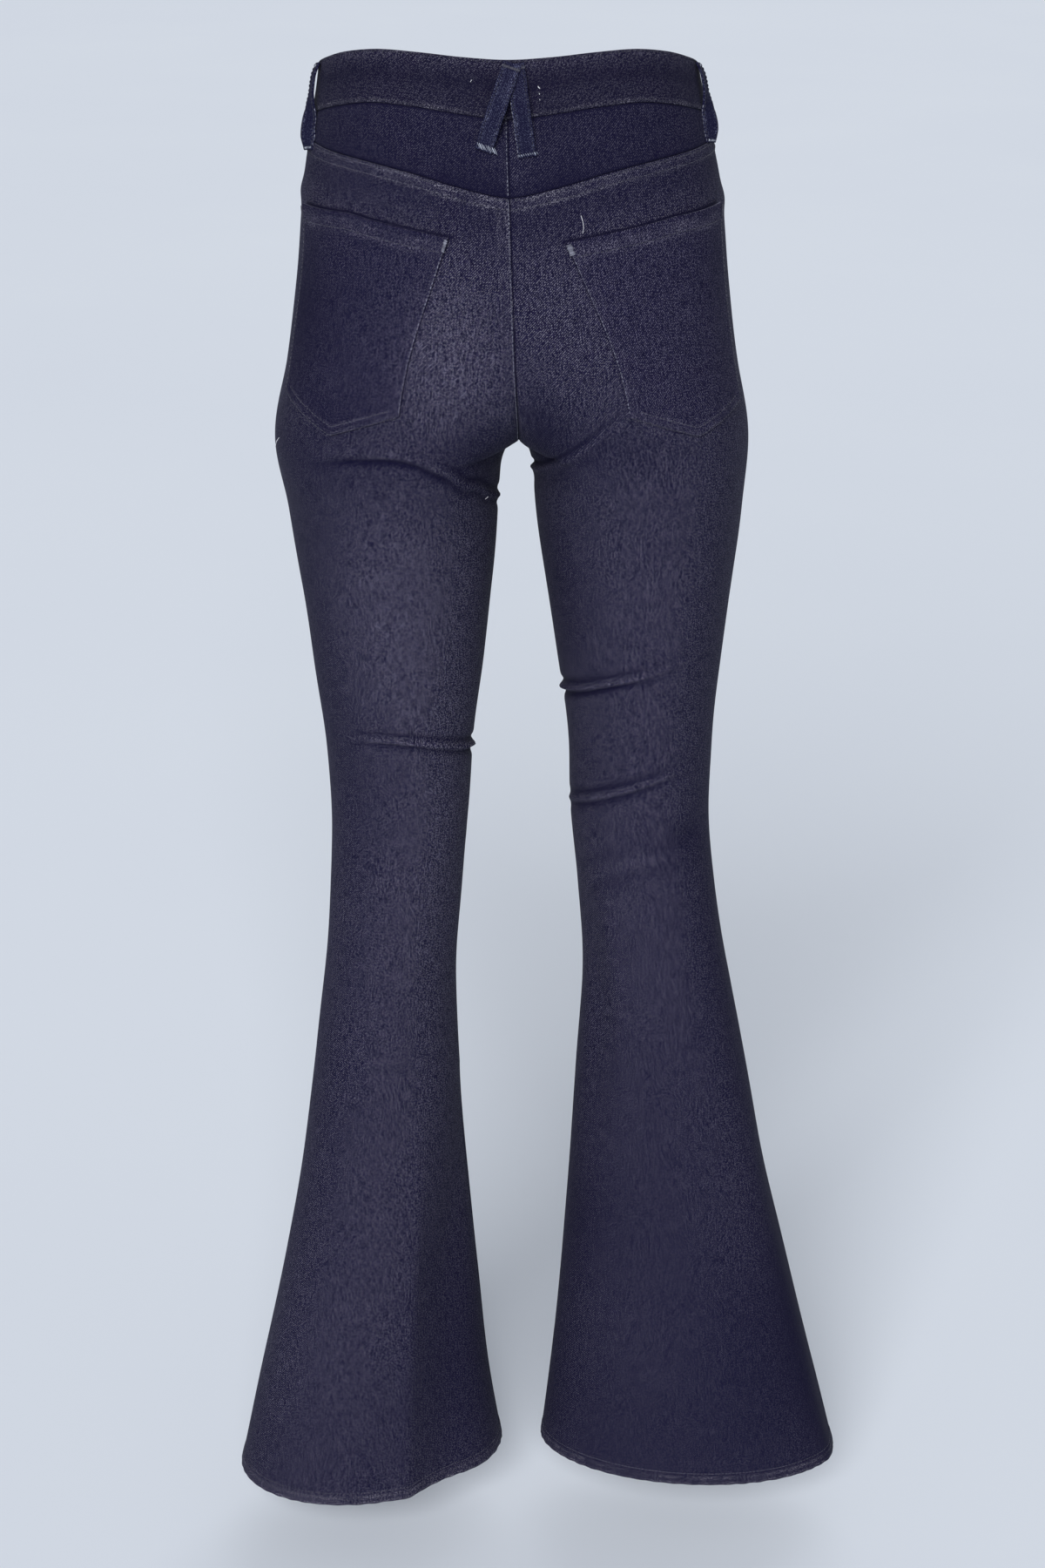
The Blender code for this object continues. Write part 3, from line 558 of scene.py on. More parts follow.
class Bench:
    """Places and joins shader nodes in one tree."""

    def __init__(self, tree):
        self.tree = tree

    def feed(self, node, key, value):
        if isinstance(value, bpy.types.NodeSocket):
            self.tree.links.new(value, node.inputs[key])
        else:
            node.inputs[key].default_value = value

    def node(self, kind, settings=(), *values, **inputs):
        made = self.tree.nodes.new(f"ShaderNode{kind}")
        for key, value in dict(settings).items():
            setattr(made, key, value)
        for key, value in (*enumerate(values), *inputs.items()):
            self.feed(made, key if isinstance(key, int) else key.replace("_", " "), value)
        return made

    def math(self, operation, *values, clamp=False):
        return self.node("Math", {"operation": operation, "use_clamp": clamp}, *values).outputs[0]

    def scaled(self, value, by, plus):
        """value times by, plus another."""
        return self.math("MULTIPLY_ADD", value, by, plus)

    def noise(self, place, scale, detail=2.0, roughness=0.5, drawn_out=None):
        """Soft grain, scale to the metre; drawn_out makes it long and thin."""
        if drawn_out:
            place = self.node("VectorMath", {"operation": "MULTIPLY"}, place, drawn_out).outputs[0]
        made = self.node("TexNoise", Vector=place, Scale=scale, Detail=detail, Roughness=roughness)
        return made.outputs["Fac"]

    def above(self, value, low, high):
        """0 below low, 1 above high, smooth between."""
        made = self.node("MapRange", {"interpolation_type": "SMOOTHSTEP"}, value, low, high)
        return made.outputs[0]

    def near(self, value, centre, far, close):
        """0 farther than far from a value, 1 closer than close to it."""
        apart = self.math("ABSOLUTE", self.math("SUBTRACT", value, centre))
        return self.above(apart, far, close)

    def mixed(self, share, first, second):
        """A colour between two."""
        made = self.node("Mix", {"data_type": "RGBA"})
        for key, value in ((0, share), (6, first), (7, second)):
            self.feed(made, key, value)
        return made.outputs[2]

    def mark(self, name):
        """A value that the piece's points carry."""
        return self.node("Attribute", {"attribute_name": name}).outputs["Fac"]


def group(name, inputs, outputs):
    """A shader node group: its tree, its bench, what it is given and its end."""
    made = bpy.data.node_groups.new(name, "ShaderNodeTree")
    for socket, kind, value in inputs:
        new = made.interface.new_socket(socket, in_out="INPUT", socket_type=f"NodeSocket{kind}")
        if value is not None:
            new.default_value = value
    for socket, kind in outputs:
        made.interface.new_socket(socket, in_out="OUTPUT", socket_type=f"NodeSocket{kind}")
    begin, end = made.nodes.new("NodeGroupInput"), made.nodes.new("NodeGroupOutput")
    return made, Bench(made), begin.outputs, end


# Twill: dyed warp yarns that each float over three picks, so that steep ridges climb to
# the right and undyed weft shows as pale flecks in the furrows.
YARN = 0.00042
RIDGE = 4 * YARN
WANDER, MOTTLE, STREAK, GRAIN = 90.0, 430.0, 560.0, 1050.0  # how many to the metre
twill, bench, given, end = group(
    "twill",
    [("Cloth", "Vector", None)],
    [(value, "Float") for value in ("Height", "Fleck", "Slub")],
)
place = given["Cloth"]
xyz = bench.node("SeparateXYZ", Vector=place).outputs
wander = bench.math("MULTIPLY", bench.math("SUBTRACT", bench.noise(place, WANDER), 0.5), 1.2)
climb = bench.math("DIVIDE", bench.math("ADD", xyz["X"], xyz["Y"]), RIDGE)
ridge = bench.math("SINE", bench.math("MULTIPLY", bench.math("ADD", climb, wander), math.tau))
grit = bench.noise(place, GRAIN, 1.5, 0.6)
slub = bench.noise(place, GRAIN, 2.0, 0.6, drawn_out=(1.0, 0.12, 1.0))
mottle = bench.noise(place, MOTTLE, 2.0, 0.65)
streak = bench.noise(place, STREAK, 2.0, 0.6, drawn_out=(1.0, 0.07, 1.0))
broken = bench.scaled(ridge, -0.12, grit)
for grain, weight in ((slub, 0.28), (streak, 0.11)):
    broken = bench.scaled(bench.math("SUBTRACT", grain, 0.5), weight, broken)
uneven = bench.scaled(mottle, 0.40, bench.scaled(streak, 0.14, bench.math("MULTIPLY", slub, 0.46)))
bench.feed(end, "Height", bench.scaled(ridge, 0.35, grit))
bench.feed(end, "Fleck", bench.above(broken, 0.54, 0.72))
bench.feed(end, "Slub", uneven)

# Abrasion along stitched seams: the folded cloth stands up, and its crests lose dye in
# short ticks beside each row of stitches.
seam_wear, bench, given, end = group(
    "seam_wear",
    [("Cloth", "Vector", None), ("Gap", "Float", 1.0)],
    [("Wear", "Float"), ("Height", "Float")],
)
gap, place = given["Gap"], given["Cloth"]
band = bench.above(gap, 0.0105, 0.0085)
outer_row = bench.near(gap, 0.0020, 0.0022, 0.0008)
inner_row = bench.near(gap, 0.0078, 0.0022, 0.0006)
specks = bench.above(bench.noise(place, 900.0, 1.5, 0.6), 0.50, 0.64)
patches = bench.above(bench.noise(place, 75.0), 0.34, 0.66)
rows_worn = bench.math("MULTIPLY", bench.scaled(inner_row, 0.7, outer_row), specks)
band_worn = bench.math("MULTIPLY", bench.math("MULTIPLY", band, specks), 0.30)
worn = bench.math("ADD", rows_worn, band_worn)
bench.feed(end, "Wear", bench.math("MULTIPLY", worn, bench.scaled(patches, 0.75, 0.25)))
bench.feed(end, "Height", bench.math("MULTIPLY", band, bench.noise(place, 420.0)))

# Rope-dyed indigo: nearly black-blue in the depth of a yarn, slate on its crests, and
# grey-white where the weft or a worn crest shows.
indigo, bench, given, end = group(
    "indigo",
    [(value, "Float", 0.0) for value in ("Fleck", "Slub", "Fade", "Wear")]
    + [(colour, "Color", (0, 0, 0, 1)) for colour in ("Deep", "Dyed", "Undyed")],
    [("Colour", "Color"), ("Roughness", "Float")],
)
# Fade makes the cloth paler or darker: faded or dark-kept indigo, and painted light and painted
# shade.
lit = bench.math("MAXIMUM", bench.scaled(given["Fade"], 1.7, 1.0), 0.12)
dye = bench.math("MULTIPLY", bench.above(given["Slub"], 0.36, 0.72), lit, clamp=True)
pale = bench.math("MULTIPLY", bench.math("MULTIPLY", given["Fleck"], lit), 0.54)
pale = bench.math("ADD", pale, bench.math("MULTIPLY", given["Wear"], 0.85), clamp=True)
yarn = bench.mixed(dye, given["Deep"], given["Dyed"])
bench.feed(end, "Colour", bench.mixed(pale, yarn, given["Undyed"]))
bench.feed(end, "Roughness", bench.scaled(pale, 0.12, 0.78))


def new_finish(name):
    """A new material, the bench for its nodes, and its shader."""
    made = bpy.data.materials.new(name)
    made.use_nodes = True
    return made, Bench(made.node_tree), made.node_tree.nodes["Principled BSDF"]


def denim(name, deep, dyed, undyed):
    """A denim material with its own three colours."""
    made, shop, shader = new_finish(name)
    place = shop.node("UVMap", {"uv_map": "cloth"}).outputs["UV"]
    weave = shop.node("Group", {"node_tree": twill}, Cloth=place).outputs
    wear = shop.node("Group", {"node_tree": seam_wear}, Cloth=place, Gap=shop.mark("seam")).outputs
    dye = shop.node(
        "Group", {"node_tree": indigo}, Fleck=weave["Fleck"], Slub=weave["Slub"],
        Fade=shop.mark("fade_and_shade"), Wear=shop.math("MULTIPLY", wear["Wear"], shop.mark("wear")),
        Deep=(*deep, 1), Dyed=(*dyed, 1), Undyed=(*undyed, 1),
    ).outputs
    height = shop.scaled(wear["Height"], 1.6, weave["Height"])
    bumped = shop.node("Bump", Height=height, Strength=0.8, Distance=0.00012)
    for key, value in (
        ("Base Color", dye["Colour"]), ("Roughness", dye["Roughness"]),
        ("Normal", bumped.outputs["Normal"]), ("Specular IOR Level", 0.06),
        ("Sheen Weight", 0.02), ("Sheen Roughness", 0.5), ("Sheen Tint", (0.55, 0.58, 0.8, 1.0)),
    ):
        shop.feed(shader, key, value)
    return made


panel_denim = denim(
    "panel_denim", (0.0042, 0.0036, 0.0190), (0.0142, 0.0124, 0.0420), (0.25, 0.240, 0.300)
)
inside_denim = denim(
    "inside_denim", (0.060, 0.062, 0.105), (0.16, 0.165, 0.22), (0.42, 0.43, 0.47)
)

SEAM_ROWS = np.array(
    [0.0, 0.03, 0.07, 0.12, 0.18, 0.26, 0.36, 0.48, 0.6, 0.7, 0.78, 0.86, 0.94, 1.02, 1.12, 1.3]
)
FULL_ROWS = 14.0  # below this drop the rows of points are level
ROWS_BETWEEN = 64
ROWS_DOWN = runs(
    (FULL_ROWS, 24.0, 0.4), (24.0, 34.0, 0.2), (34.0, 42.0, 0.42), (42.0, 58.0, 0.2),
    (58.0, HEM_TOP + 0.1, 0.45),
)
SEAM_PLACES = np.array([0.0004, 0.001, 0.0018, 0.0028, 0.004])
BESIDE_SEAM = 0.006


def panel_rows(top):
    """Rows of points from a panel's own top edge down to the hem."""
    near = top + SEAM_ROWS[:, None]
    share = np.linspace(0, 1, ROWS_BETWEEN)[1:-1, None]
    between = near[-1] + (FULL_ROWS - near[-1]) * share
    below = np.broadcast_to(ROWS_DOWN[:, None], (len(ROWS_DOWN), len(top)))
    return np.vstack([near, between, below])


def columns_between(first, last, count):
    """Places round the body, closer together beside both seams."""
    even = np.linspace(first + BESIDE_SEAM, last - BESIDE_SEAM, count)
    return np.concatenate(
        [[first], first + SEAM_PLACES, even, last - SEAM_PLACES[::-1], [last]]
    )


# Where the pockets go: the corners of each, on lines that run up and down the backs.
STATIONS = (0, 5, 8, 11, 12)
POCKETS = {
    1: table(
        "top_s  top_down  bottom_s  bottom_down",
        (0.000, 11.9, 0.000, 24.40),
        (0.176, 11.5, 0.240, 23.75),
        (0.330, 10.35, 0.331, 25.65),
        (0.436, 10.5, 0.433, 23.40),
        (0.500, 10.4, 0.500, 24.40),
    ),
    -1: table(
        "top_s  top_down  bottom_s  bottom_down",
        (0.000, 11.9, 0.000, 24.40),
        (0.164, 11.8, 0.240, 23.80),
        (0.330, 10.6, 0.335, 25.75),
        (0.432, 10.4, 0.437, 24.10),
        (0.500, 10.4, 0.500, 24.40),
    ),
}
# Painted shadow on the backs just above each pocket's mouth: its depth and its width.
MOUTH_SHADE, MOUTH_SHADOW = 0.75, 0.12


def under_mouth(leg, s, down):
    """Cloth just above a pocket's mouth, where a painted shadow stands for the dark gap of the
    mouth.
    """
    mouth_s, mouth_down = (POCKETS[leg][name][1:-1] for name in ("top_s", "top_down"))
    below = down - np.interp(s, mouth_s, mouth_down)
    at_mouth = (s > mouth_s[0] - 0.002) & (s < mouth_s[-1] + 0.002)
    return np.where(at_mouth, bell(below + 0.02, MOUTH_SHADOW), 0)


backs = {}
for side, leg in SIDES.items():
    s = columns_between(0.0, 0.5, 76)
    top = smooth_curve(s, YOKE_SEAM["s"], YOKE_SEAM["down"])
    edges = {"top": felled, "first": felled_seat if leg > 0 else rolled, "last": rolled}
    rows = panel_rows(top)
    back, backs[leg] = sew_panel(
        f"back_cloth_{side}", leg, s[None, :], rows, edges, [panel_denim, inside_denim],
        fade_and_shade=-MOUTH_SHADE * under_mouth(leg, s[None, :], rows),
    )
    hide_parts(f"back_{side}_seat", f"back_{side}_thigh", f"back_{side}_leg")

# ---------------------------------------------------------------- the back pockets
# Five-sided patches of the same denim, their mouths hemmed 13 mm deep and their other
# edges turned under. Each is sewn on a back close to its folds, with a second row 8 mm
# inside its lower edges and a bar tack at both ends of its mouth.

MOUTH_HEM, MOUTH_ROW, MOUTH_RUB, MOUTH_GAPE = 1.3, 1.1, 0.9, 0.22
EDGE_ROW = 0.10  # the stitches of its sides lie almost on the fold
POCKET_PROUD = 0.05  # its face above the back's, besides its own thickness
POCKET_FADE = {1: -0.23, -1: -0.11}


def fold_round(gap):
    """How far the cloth falls away to its fold, from 0 to -1."""
    return np.sqrt(np.clip(1 - (1 - np.clip(gap / 0.10, 0, 1)) ** 2, 0, 1)) - 1


def patch_edge(gap, s, down):
    """An edge turned under and topstitched: thick, rounded at its fold."""
    ridge = 0.03 * np.clip((0.85 - gap) / 0.25, 0, 1)
    pressed = 0.025 * bell(gap - EDGE_ROW, 0.05)
    return 0.14 * fold_round(gap) + ridge - pressed, gap, 0 * gap + 0.12


def patch_bottom(gap, s, down):
    """The pocket's lower edges, where the turned-under cloth shows through as a band."""
    rise, gap, _ = patch_edge(gap, s, down)
    return rise - 0.02 * bell(gap - STITCH_ROWS[1], 0.08), gap, 0 * gap + 0.35


def patch_mouth(gap, s, down):
    """The pocket's mouth: two layers folded over a wide hem, which gapes a little."""
    hem = 0.05 * np.clip((MOUTH_HEM + 0.1 - gap) / 0.15, 0, 1)
    pressed = 0.03 * bell(gap - MOUTH_ROW, 0.10)
    from_rub = np.abs(gap - MOUTH_RUB)
    rubbed = np.where(from_rub < 0.6, 0.10 + 0.5 * from_rub, UNSEWN)
    return 0.10 * fold_round(gap) + hem - pressed, rubbed, 0 * gap + 0.36


def crowded(count):
    """Shares from 0 to 1, closer together at both ends."""
    close = np.array([0, 0.003, 0.007, 0.012, 0.02])
    return np.concatenate([close, np.linspace(0.03, 0.97, count), 1 - close[::-1]])


pocket_denim = denim(
    "pocket_denim", (0.0042, 0.0035, 0.0195), (0.0140, 0.0120, 0.0430), (0.235, 0.222, 0.295)
)
pockets = {}
for side, leg in SIDES.items():
    column = STATIONS[1] + crowded(56) * (STATIONS[-2] - STATIONS[1])
    downwards = crowded(66)[:, None]
    top_s, top_down, bottom_s, bottom_down = (
        np.interp(column, STATIONS, corners) for corners in POCKETS[leg].values()
    )
    s = top_s + (bottom_s - top_s) * np.sin(downwards * math.pi / 2)
    down = top_down + (bottom_down - top_down) * downwards
    edges = {"top": patch_mouth, "first": patch_edge, "last": patch_edge, "bottom": patch_bottom}
    pocket, pockets[leg] = sew_panel(
        f"pocket_cloth_{side}", leg, s, down, edges, [pocket_denim, inside_denim],
        fade_and_shade=POCKET_FADE[leg], out=POCKET_PROUD + CLOTH, gape=MOUTH_GAPE,
    )
    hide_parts(f"pocket_{side}")

# ---------------------------------------------------------------- the yokes
# A shaped panel over each side of the seat, joined at the centre back by a flat felled
# seam sewn near its fold. The backs lap over its lower edge in a shallow V.

WAIST = table(
    "s     top    seam",
    (0.00, 0.10, 3.90),
    (0.10, 0.06, 3.80),
    (0.17, -0.08, 3.52),
    (0.24, -0.30, 3.18),
    (0.31, -0.35, 3.08),
    (0.37, 0.00, 3.50),
    (0.44, 0.75, 4.25),
    (0.50, 1.40, 5.00),
    (0.60, 2.05, 5.75),
    (0.72, 2.60, 6.35),
    (0.85, 2.98, 6.80),
    (1.00, 3.10, 6.95),
)
TUCK = 0.2  # how far the panels go on inside the waistband


def waist(edge, s):
    """How far down the waistband's top or its seam lies."""
    return at(WAIST, edge, s, "s")


def felled_yoke(gap, s, down):
    """The centre seam between the yokes, pressed flatter and sewn near its fold."""
    rise, gap, _ = felled_seat(gap, s, down)
    return 0.4 * rise, np.where(gap < 0.3, gap, UNSEWN), 0 * gap + 0.12


yokes = {}
for side, leg in SIDES.items():
    s = columns_between(0.0, 0.5, 76)
    seam = smooth_curve(s, YOKE_SEAM["s"], YOKE_SEAM["down"])
    band = waist("seam", s)
    share = np.concatenate(
        [[0, 0.01, 0.025, 0.045], np.linspace(0.07, 0.93, 26), [0.955, 0.975, 0.99, 1]]
    )
    down = np.vstack([band - TUCK, band + (seam - band) * share[:, None]])
    centre_seam = felled_yoke if leg > 0 else rolled
    edges = {"top": rolled, "first": centre_seam, "last": rolled, "bottom": rolled}
    rubbed = 0.16 * bell(s - 0.05, 0.06) if leg < 0 else 0.0
    yoke, yokes[leg] = sew_panel(
        f"yoke_cloth_{side}", leg, s, down, edges, [panel_denim, inside_denim],
        fade_and_shade=-0.35 + rubbed, tuck=TUCK,
    )
    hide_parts(f"yoke_{side}")

# ---------------------------------------------------------------- the fronts
# The same denim from the waistband to the hem, with a scoop cut out of the top outer
# corner for the hand pocket. The two meet at the centre front, over the fly.

SCOOP_S, SCOOP_SIDE = 0.69, 10.35
SCOOP_COLUMNS = 34
fronts = {}
for side, leg in SIDES.items():
    turn = np.linspace(0, math.pi / 2, SCOOP_COLUMNS)[1:]
    plain = np.linspace(SCOOP_S + BESIDE_SEAM, 1 - BESIDE_SEAM, 50)
    s = np.sort(np.concatenate([
        [0.5], 0.5 + SEAM_PLACES, 0.5 + (SCOOP_S - 0.5) * np.sin(turn), plain,
        1 - SEAM_PLACES[::-1], [1],
    ]))
    share = np.clip((s - 0.5) / (SCOOP_S - 0.5), 0, 1)
    scoop_drop = SCOOP_SIDE - waist("seam", 0.5)
    top = waist("seam", s) + scoop_drop * np.sqrt(1 - share**2)
    tuck = np.where(share < 1, 0.02, TUCK)
    rows = np.vstack([top - tuck, panel_rows(top)])
    front, fronts[leg] = sew_panel(
        f"front_cloth_{side}", leg, s, rows, {"top": rolled, "first": rolled, "last": rolled},
        [panel_denim, inside_denim], tuck=tuck,
    )
    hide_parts(f"front_{side}_upper", f"front_{side}_lower")

# ---------------------------------------------------------------- the pocket facings
# Behind each scoop a piece of the same denim carries the look of the side across the
# pocket's opening. It is caught in the waistband and the side seam.

FACING_LAST_S, FACING_BOTTOM, FACING_IN = 0.74, 12.4, 0.17
for side, leg in SIDES.items():
    even = np.linspace(0.5 + BESIDE_SEAM, FACING_LAST_S, 40)
    s = np.concatenate([[0.5], 0.5 + SEAM_PLACES, even])
    top = waist("seam", s) - TUCK
    down = top + (FACING_BOTTOM - top) * np.linspace(0, 1, 40)[:, None]
    facing, _ = sew_panel(
        f"facing_cloth_{side}", leg, s, down, {"first": rolled}, [panel_denim, inside_denim],
        fade_and_shade=-0.1, out=-FACING_IN,
    )
    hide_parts(f"facing_{side}")

# ---------------------------------------------------------------- the fly
# The shield behind the closed opening, one folded strip sewn to the left front. The
# zip and its pull lie between it and the front and don't show.

FLY_S, FLY_LENGTH, CROSS_OVER_S = 0.79, 14.0, 0.95
FLY_IN = 0.20  # it lies this far inside the fronts
face, lining, flat = [], [], []
middle = waist("seam", 1.0)
for leg, places in (
    (1, np.linspace(FLY_S, 1, 30)), (-1, np.linspace(1, CROSS_OVER_S, 8)[1:]),
):
    top = np.maximum(waist("seam", places), middle - 0.94)
    down = top + (middle + 0.06 + FLY_LENGTH - top) * np.linspace(0, 1, 44)[:, None]
    spot, normal = form(leg, places, down), outward(leg, places, down)
    lift = relief(leg, places, down)[..., None] - FLY_IN
    face.append(spot + normal * lift)
    lining.append(spot + normal * (lift - CLOTH))
    flat.append(down)
face, lining, flat = (np.concatenate(part, axis=1) for part in (face, lining, flat))
flat = np.stack([-arc(face, 1), flat], -1) * CM
marks = {"seam": 0.03, "wear": 0.0, "fade_and_shade": -0.1}
fly = cloth_piece("fly_cloth", face, lining, flat, marks, [panel_denim, inside_denim])
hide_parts("fly")

# ---------------------------------------------------------------- the hems
# Each leg's lower edge is turned up 12 mm, twice, and sewn round near the top of the
# turn. The cloth drags as it is sewn, so that the edge ropes in slanting ripples.

HEM_PROUD, HEM_THICK, HEM_ROUND = 0.05, 0.26, 0.13
ROPE_PITCH, ROPE_HEIGHT, SCALLOP = 1.35, 0.026, 0.018
HEM_COLUMNS = 240
hem_denim = denim(
    "hem_denim", (0.0046, 0.0040, 0.0195), (0.0165, 0.0148, 0.0440), (0.29, 0.275, 0.335)
)
hems = {}
for side, leg in SIDES.items():
    turn = np.linspace(0, math.pi, 9)[1:-1]
    level = np.concatenate([[0, 0.03, 0.07, 0.12, 0.18], np.linspace(0.26, 0.92, 9)])
    upper = np.sin(np.clip(level / HEM_THICK, 0, 1) * math.pi / 2)
    out = np.concatenate([
        -0.05 + (HEM_PROUD + 0.05) * upper, HEM_PROUD - HEM_THICK / 2 * (1 - np.cos(turn))
    ])[:, None]
    drop = np.concatenate([HEM_TOP + level, HEM - HEM_ROUND + HEM_ROUND * np.sin(turn)])
    s, down = np.meshgrid(np.linspace(0, 1, HEM_COLUMNS + 1)[:-1], drop)
    girth = s * breadth(leg, HEM)
    edge = np.clip((down - HEM_TOP - 0.2) / 0.8, 0, 1)
    turns = girth / ROPE_PITCH + 0.55 * (down - HEM) + 0.25 * np.sin(girth * 0.9)
    unequal = 0.7 + 0.3 * np.sin(girth * 0.37 + leg)
    rope = ROPE_HEIGHT * edge * np.sin(math.tau * turns) * unequal
    scallop = SCALLOP * edge * np.sin(math.tau * girth / ROPE_PITCH + 1.0)
    normal = outward(leg, s, HEM_TOP)
    lift = relief(leg, s, np.minimum(down, HEM - 0.1)) + out + rope
    body = form(leg, s, np.minimum(down + scallop, HEM + 0.05)) + normal * lift[..., None]
    inner_lift = relief(leg, s, down) + HEM_PROUD - HEM_THICK
    top_inside = form(leg, s, down) + normal * inner_lift[..., None]
    straight = (down < HEM - 0.2)[..., None]
    lining = np.where(straight, top_inside, body - normal * 0.02)
    closed = np.linspace(0, 1, HEM_COLUMNS + 1) * breadth(leg, HEM) + 0 * drop[:, None]
    flat = np.stack([-leg * closed, drop[:, None] + 0 * closed], -1) * CM
    marks = {
        "seam": np.maximum(HEM + 0.05 - down, 0.02) * CM,
        "wear": 0.45,
        "fade_and_shade": fading_and_shade(leg, s, down) - 0.03,
    }
    hem = cloth_piece(
        f"hem_cloth_{side}", body, lining, flat, marks, [hem_denim, inside_denim],
        ring=True, flip=leg < 0,
    )
    hems[leg] = {"face": body, "normal": np.broadcast_to(normal, body.shape)}
    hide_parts(f"hem_{side}")

# ---------------------------------------------------------------- the waistband
# One contoured band of doubled denim, nearly 4 cm wide, sewn over the tops of the panels
# and topstitched along both edges. Its right end runs on under the left at the front.

BAND_PROUD, BAND_THICK, UNDERLAP_S = 0.06, 0.24, 0.845
BAND_ROW, BAND_SEAM_WORN = 0.22, 0.42
behind = BAND_PROUD - BAND_THICK - 0.03
half = np.concatenate([np.linspace(0, 0.5, 100)[:-1], np.linspace(0.5, 1, 90)])
under = np.clip((half[1:] - 0.93) / 0.05, 0, 1) ** 2  # where the right end goes under
spans = [
    (1, half[::-1], np.full(len(half), BAND_PROUD)),
    (-1, half[1:], BAND_PROUD + (behind - BAND_PROUD) * under),
    (1, np.linspace(1, UNDERLAP_S, 30)[1:], np.full(29, behind)),
]
turn = np.linspace(0, math.pi / 2, 5)
edge_share, edge_in = 0.03 * (1 - np.cos(turn)), BAND_THICK / 2 * (1 - np.sin(turn))
share = np.concatenate([edge_share, np.linspace(0.05, 0.95, 22), 1 - edge_share[::-1]])[:, None]
edge_out = -np.concatenate([edge_in, np.zeros(22), edge_in[::-1]])[:, None]
strips = []
for leg, places, out in spans:
    top = waist("top", places)
    width = waist("seam", places) - top
    wide = width * share
    down = top + wide
    spot, normal = form(leg, places, down), outward(leg, places, down)
    pressed = 0.022 * (bell(wide - BAND_ROW, 0.08) + bell(width - wide - BAND_ROW, 0.08))
    sag = 0.03 * np.sin(places * 31 + leg) * np.sin(share * math.pi)
    sag = sag - 0.05 * bell(share - 0.42, 0.16) * bell(places - 0.06, 0.30)
    lift = relief(leg, places, down) + out + edge_out + sag - pressed
    # Painted light and shade: the band's top edge is drawn paler as a painted highlight and a
    # strip across its middle darker as painted shade; it is also darker near the centre back.
    fade_and_shade = 0.32 * bell(wide, 0.55) - 0.12 * bell(share - 0.45, 0.14) - 0.10 * bell(places, 0.12)
    inner_lift = lift - BAND_THICK - 2 * edge_out
    strips.append((
        spot + normal * lift[..., None], spot + normal * inner_lift[..., None], normal, fade_and_shade - 0.30
    ))
face, lining, normals, fade_and_shade = (np.concatenate(part, axis=1) for part in zip(*strips))
around, along = arc(face, 1), arc(face, 0)
seam_gap = along[-1:] - along
seam_gap = np.where(seam_gap < BAND_SEAM_WORN, np.maximum(seam_gap, 0.02), 3.0)
marks = {"seam": seam_gap * CM, "wear": 0.5, "fade_and_shade": fade_and_shade}
flat = np.stack([around, along], -1) * CM
band_denim = denim(
    "band_denim", (0.0044, 0.0038, 0.0168), (0.0150, 0.0132, 0.0385), (0.240, 0.230, 0.285)
)
band = cloth_piece(
    "waistband_cloth", face, lining, flat, marks, [band_denim, inside_denim], flip=True
)
band_grid = {"face": face, "normal": normals, "around": around, "along": along}
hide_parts("waistband")

# ---------------------------------------------------------------- the belt loops
# Straps of denim folded in three and sewn on at both ends, six in all. The two at the
# centre back start from one place and cross, spread like an upside-down V; the others
# stand off at the sides and in front.

LOOP_WIDTH, LOOP_CLOTH, LOOP_STAND_OFF = 1.25, 0.15, 0.64
LOOP_SHAPE = (0, 0.40, 0.8, 1, 1, 0.95, 0.75, 0.35, 0)  # how it stands off, along it
SIDE_LOOP_SHAPE = (0, 0.34, 0.42, 0.42, 0.42, 0.46, 0.50, 0.38, 0.14)
LOOP_LIFT, LOOP_PARTED = 0.25, 0.5
LOOP_TWIST = math.radians(46)  # the side loops turn about their own length
TWIST_AT, TWIST_SHARE = (0, 0.35, 0.5, 0.65, 0.85, 1), (0, 0, 0.35, 0.9, 0.9, 0.3)
HALF_PLACES = (0.2, 0.45, 0.6, 0.76, 0.87, 0.94, 0.985, 1)
LOOPS = {  # leg, whether behind, how far out at top and bottom, its lower end, loops under it
    "loop_cross_under": (1, True, -0.040, -0.093, 6.25, 0),
    "loop_cross_over": (1, True, -0.025, 0.118, 5.85, 1),
    "loop_side_left": (1, True, 0.986, 0.972, 7.0, 0),
    "loop_side_right": (-1, True, 0.986, 0.970, 6.5, 0),
    "loop_front_left": (1, False, 0.510, 0.500, 8.9, 0),
    "loop_front_right": (-1, False, 0.510, 0.500, 8.9, 0),
}
LOOP_FADE = {"loop_cross_over": -0.32, "loop_cross_under": -0.42}
loop_denim = denim(
    "loop_denim", (0.0044, 0.0041, 0.0205), (0.0145, 0.0142, 0.0460), (0.185, 0.200, 0.310)
)
place = np.array([-at_side for at_side in HALF_PLACES[::-1]] + [0, *HALF_PLACES])
off_middle = np.abs(place)
round_off = np.sqrt(np.clip(1 - np.clip((off_middle - 0.86) / 0.14, 0, 1) ** 2, 0, 1))
crest = LOOP_CLOTH * (0.5 + 0.5 * round_off)
crest = crest + 0.02 * bell(off_middle - 0.78, 0.14) - 0.018 * bell(off_middle - 0.6, 0.08)
belly = LOOP_CLOTH * (0.5 - 0.5 * round_off)
offset = place * LOOP_WIDTH / 2
share = np.linspace(0, 1, 73)
loops = {}
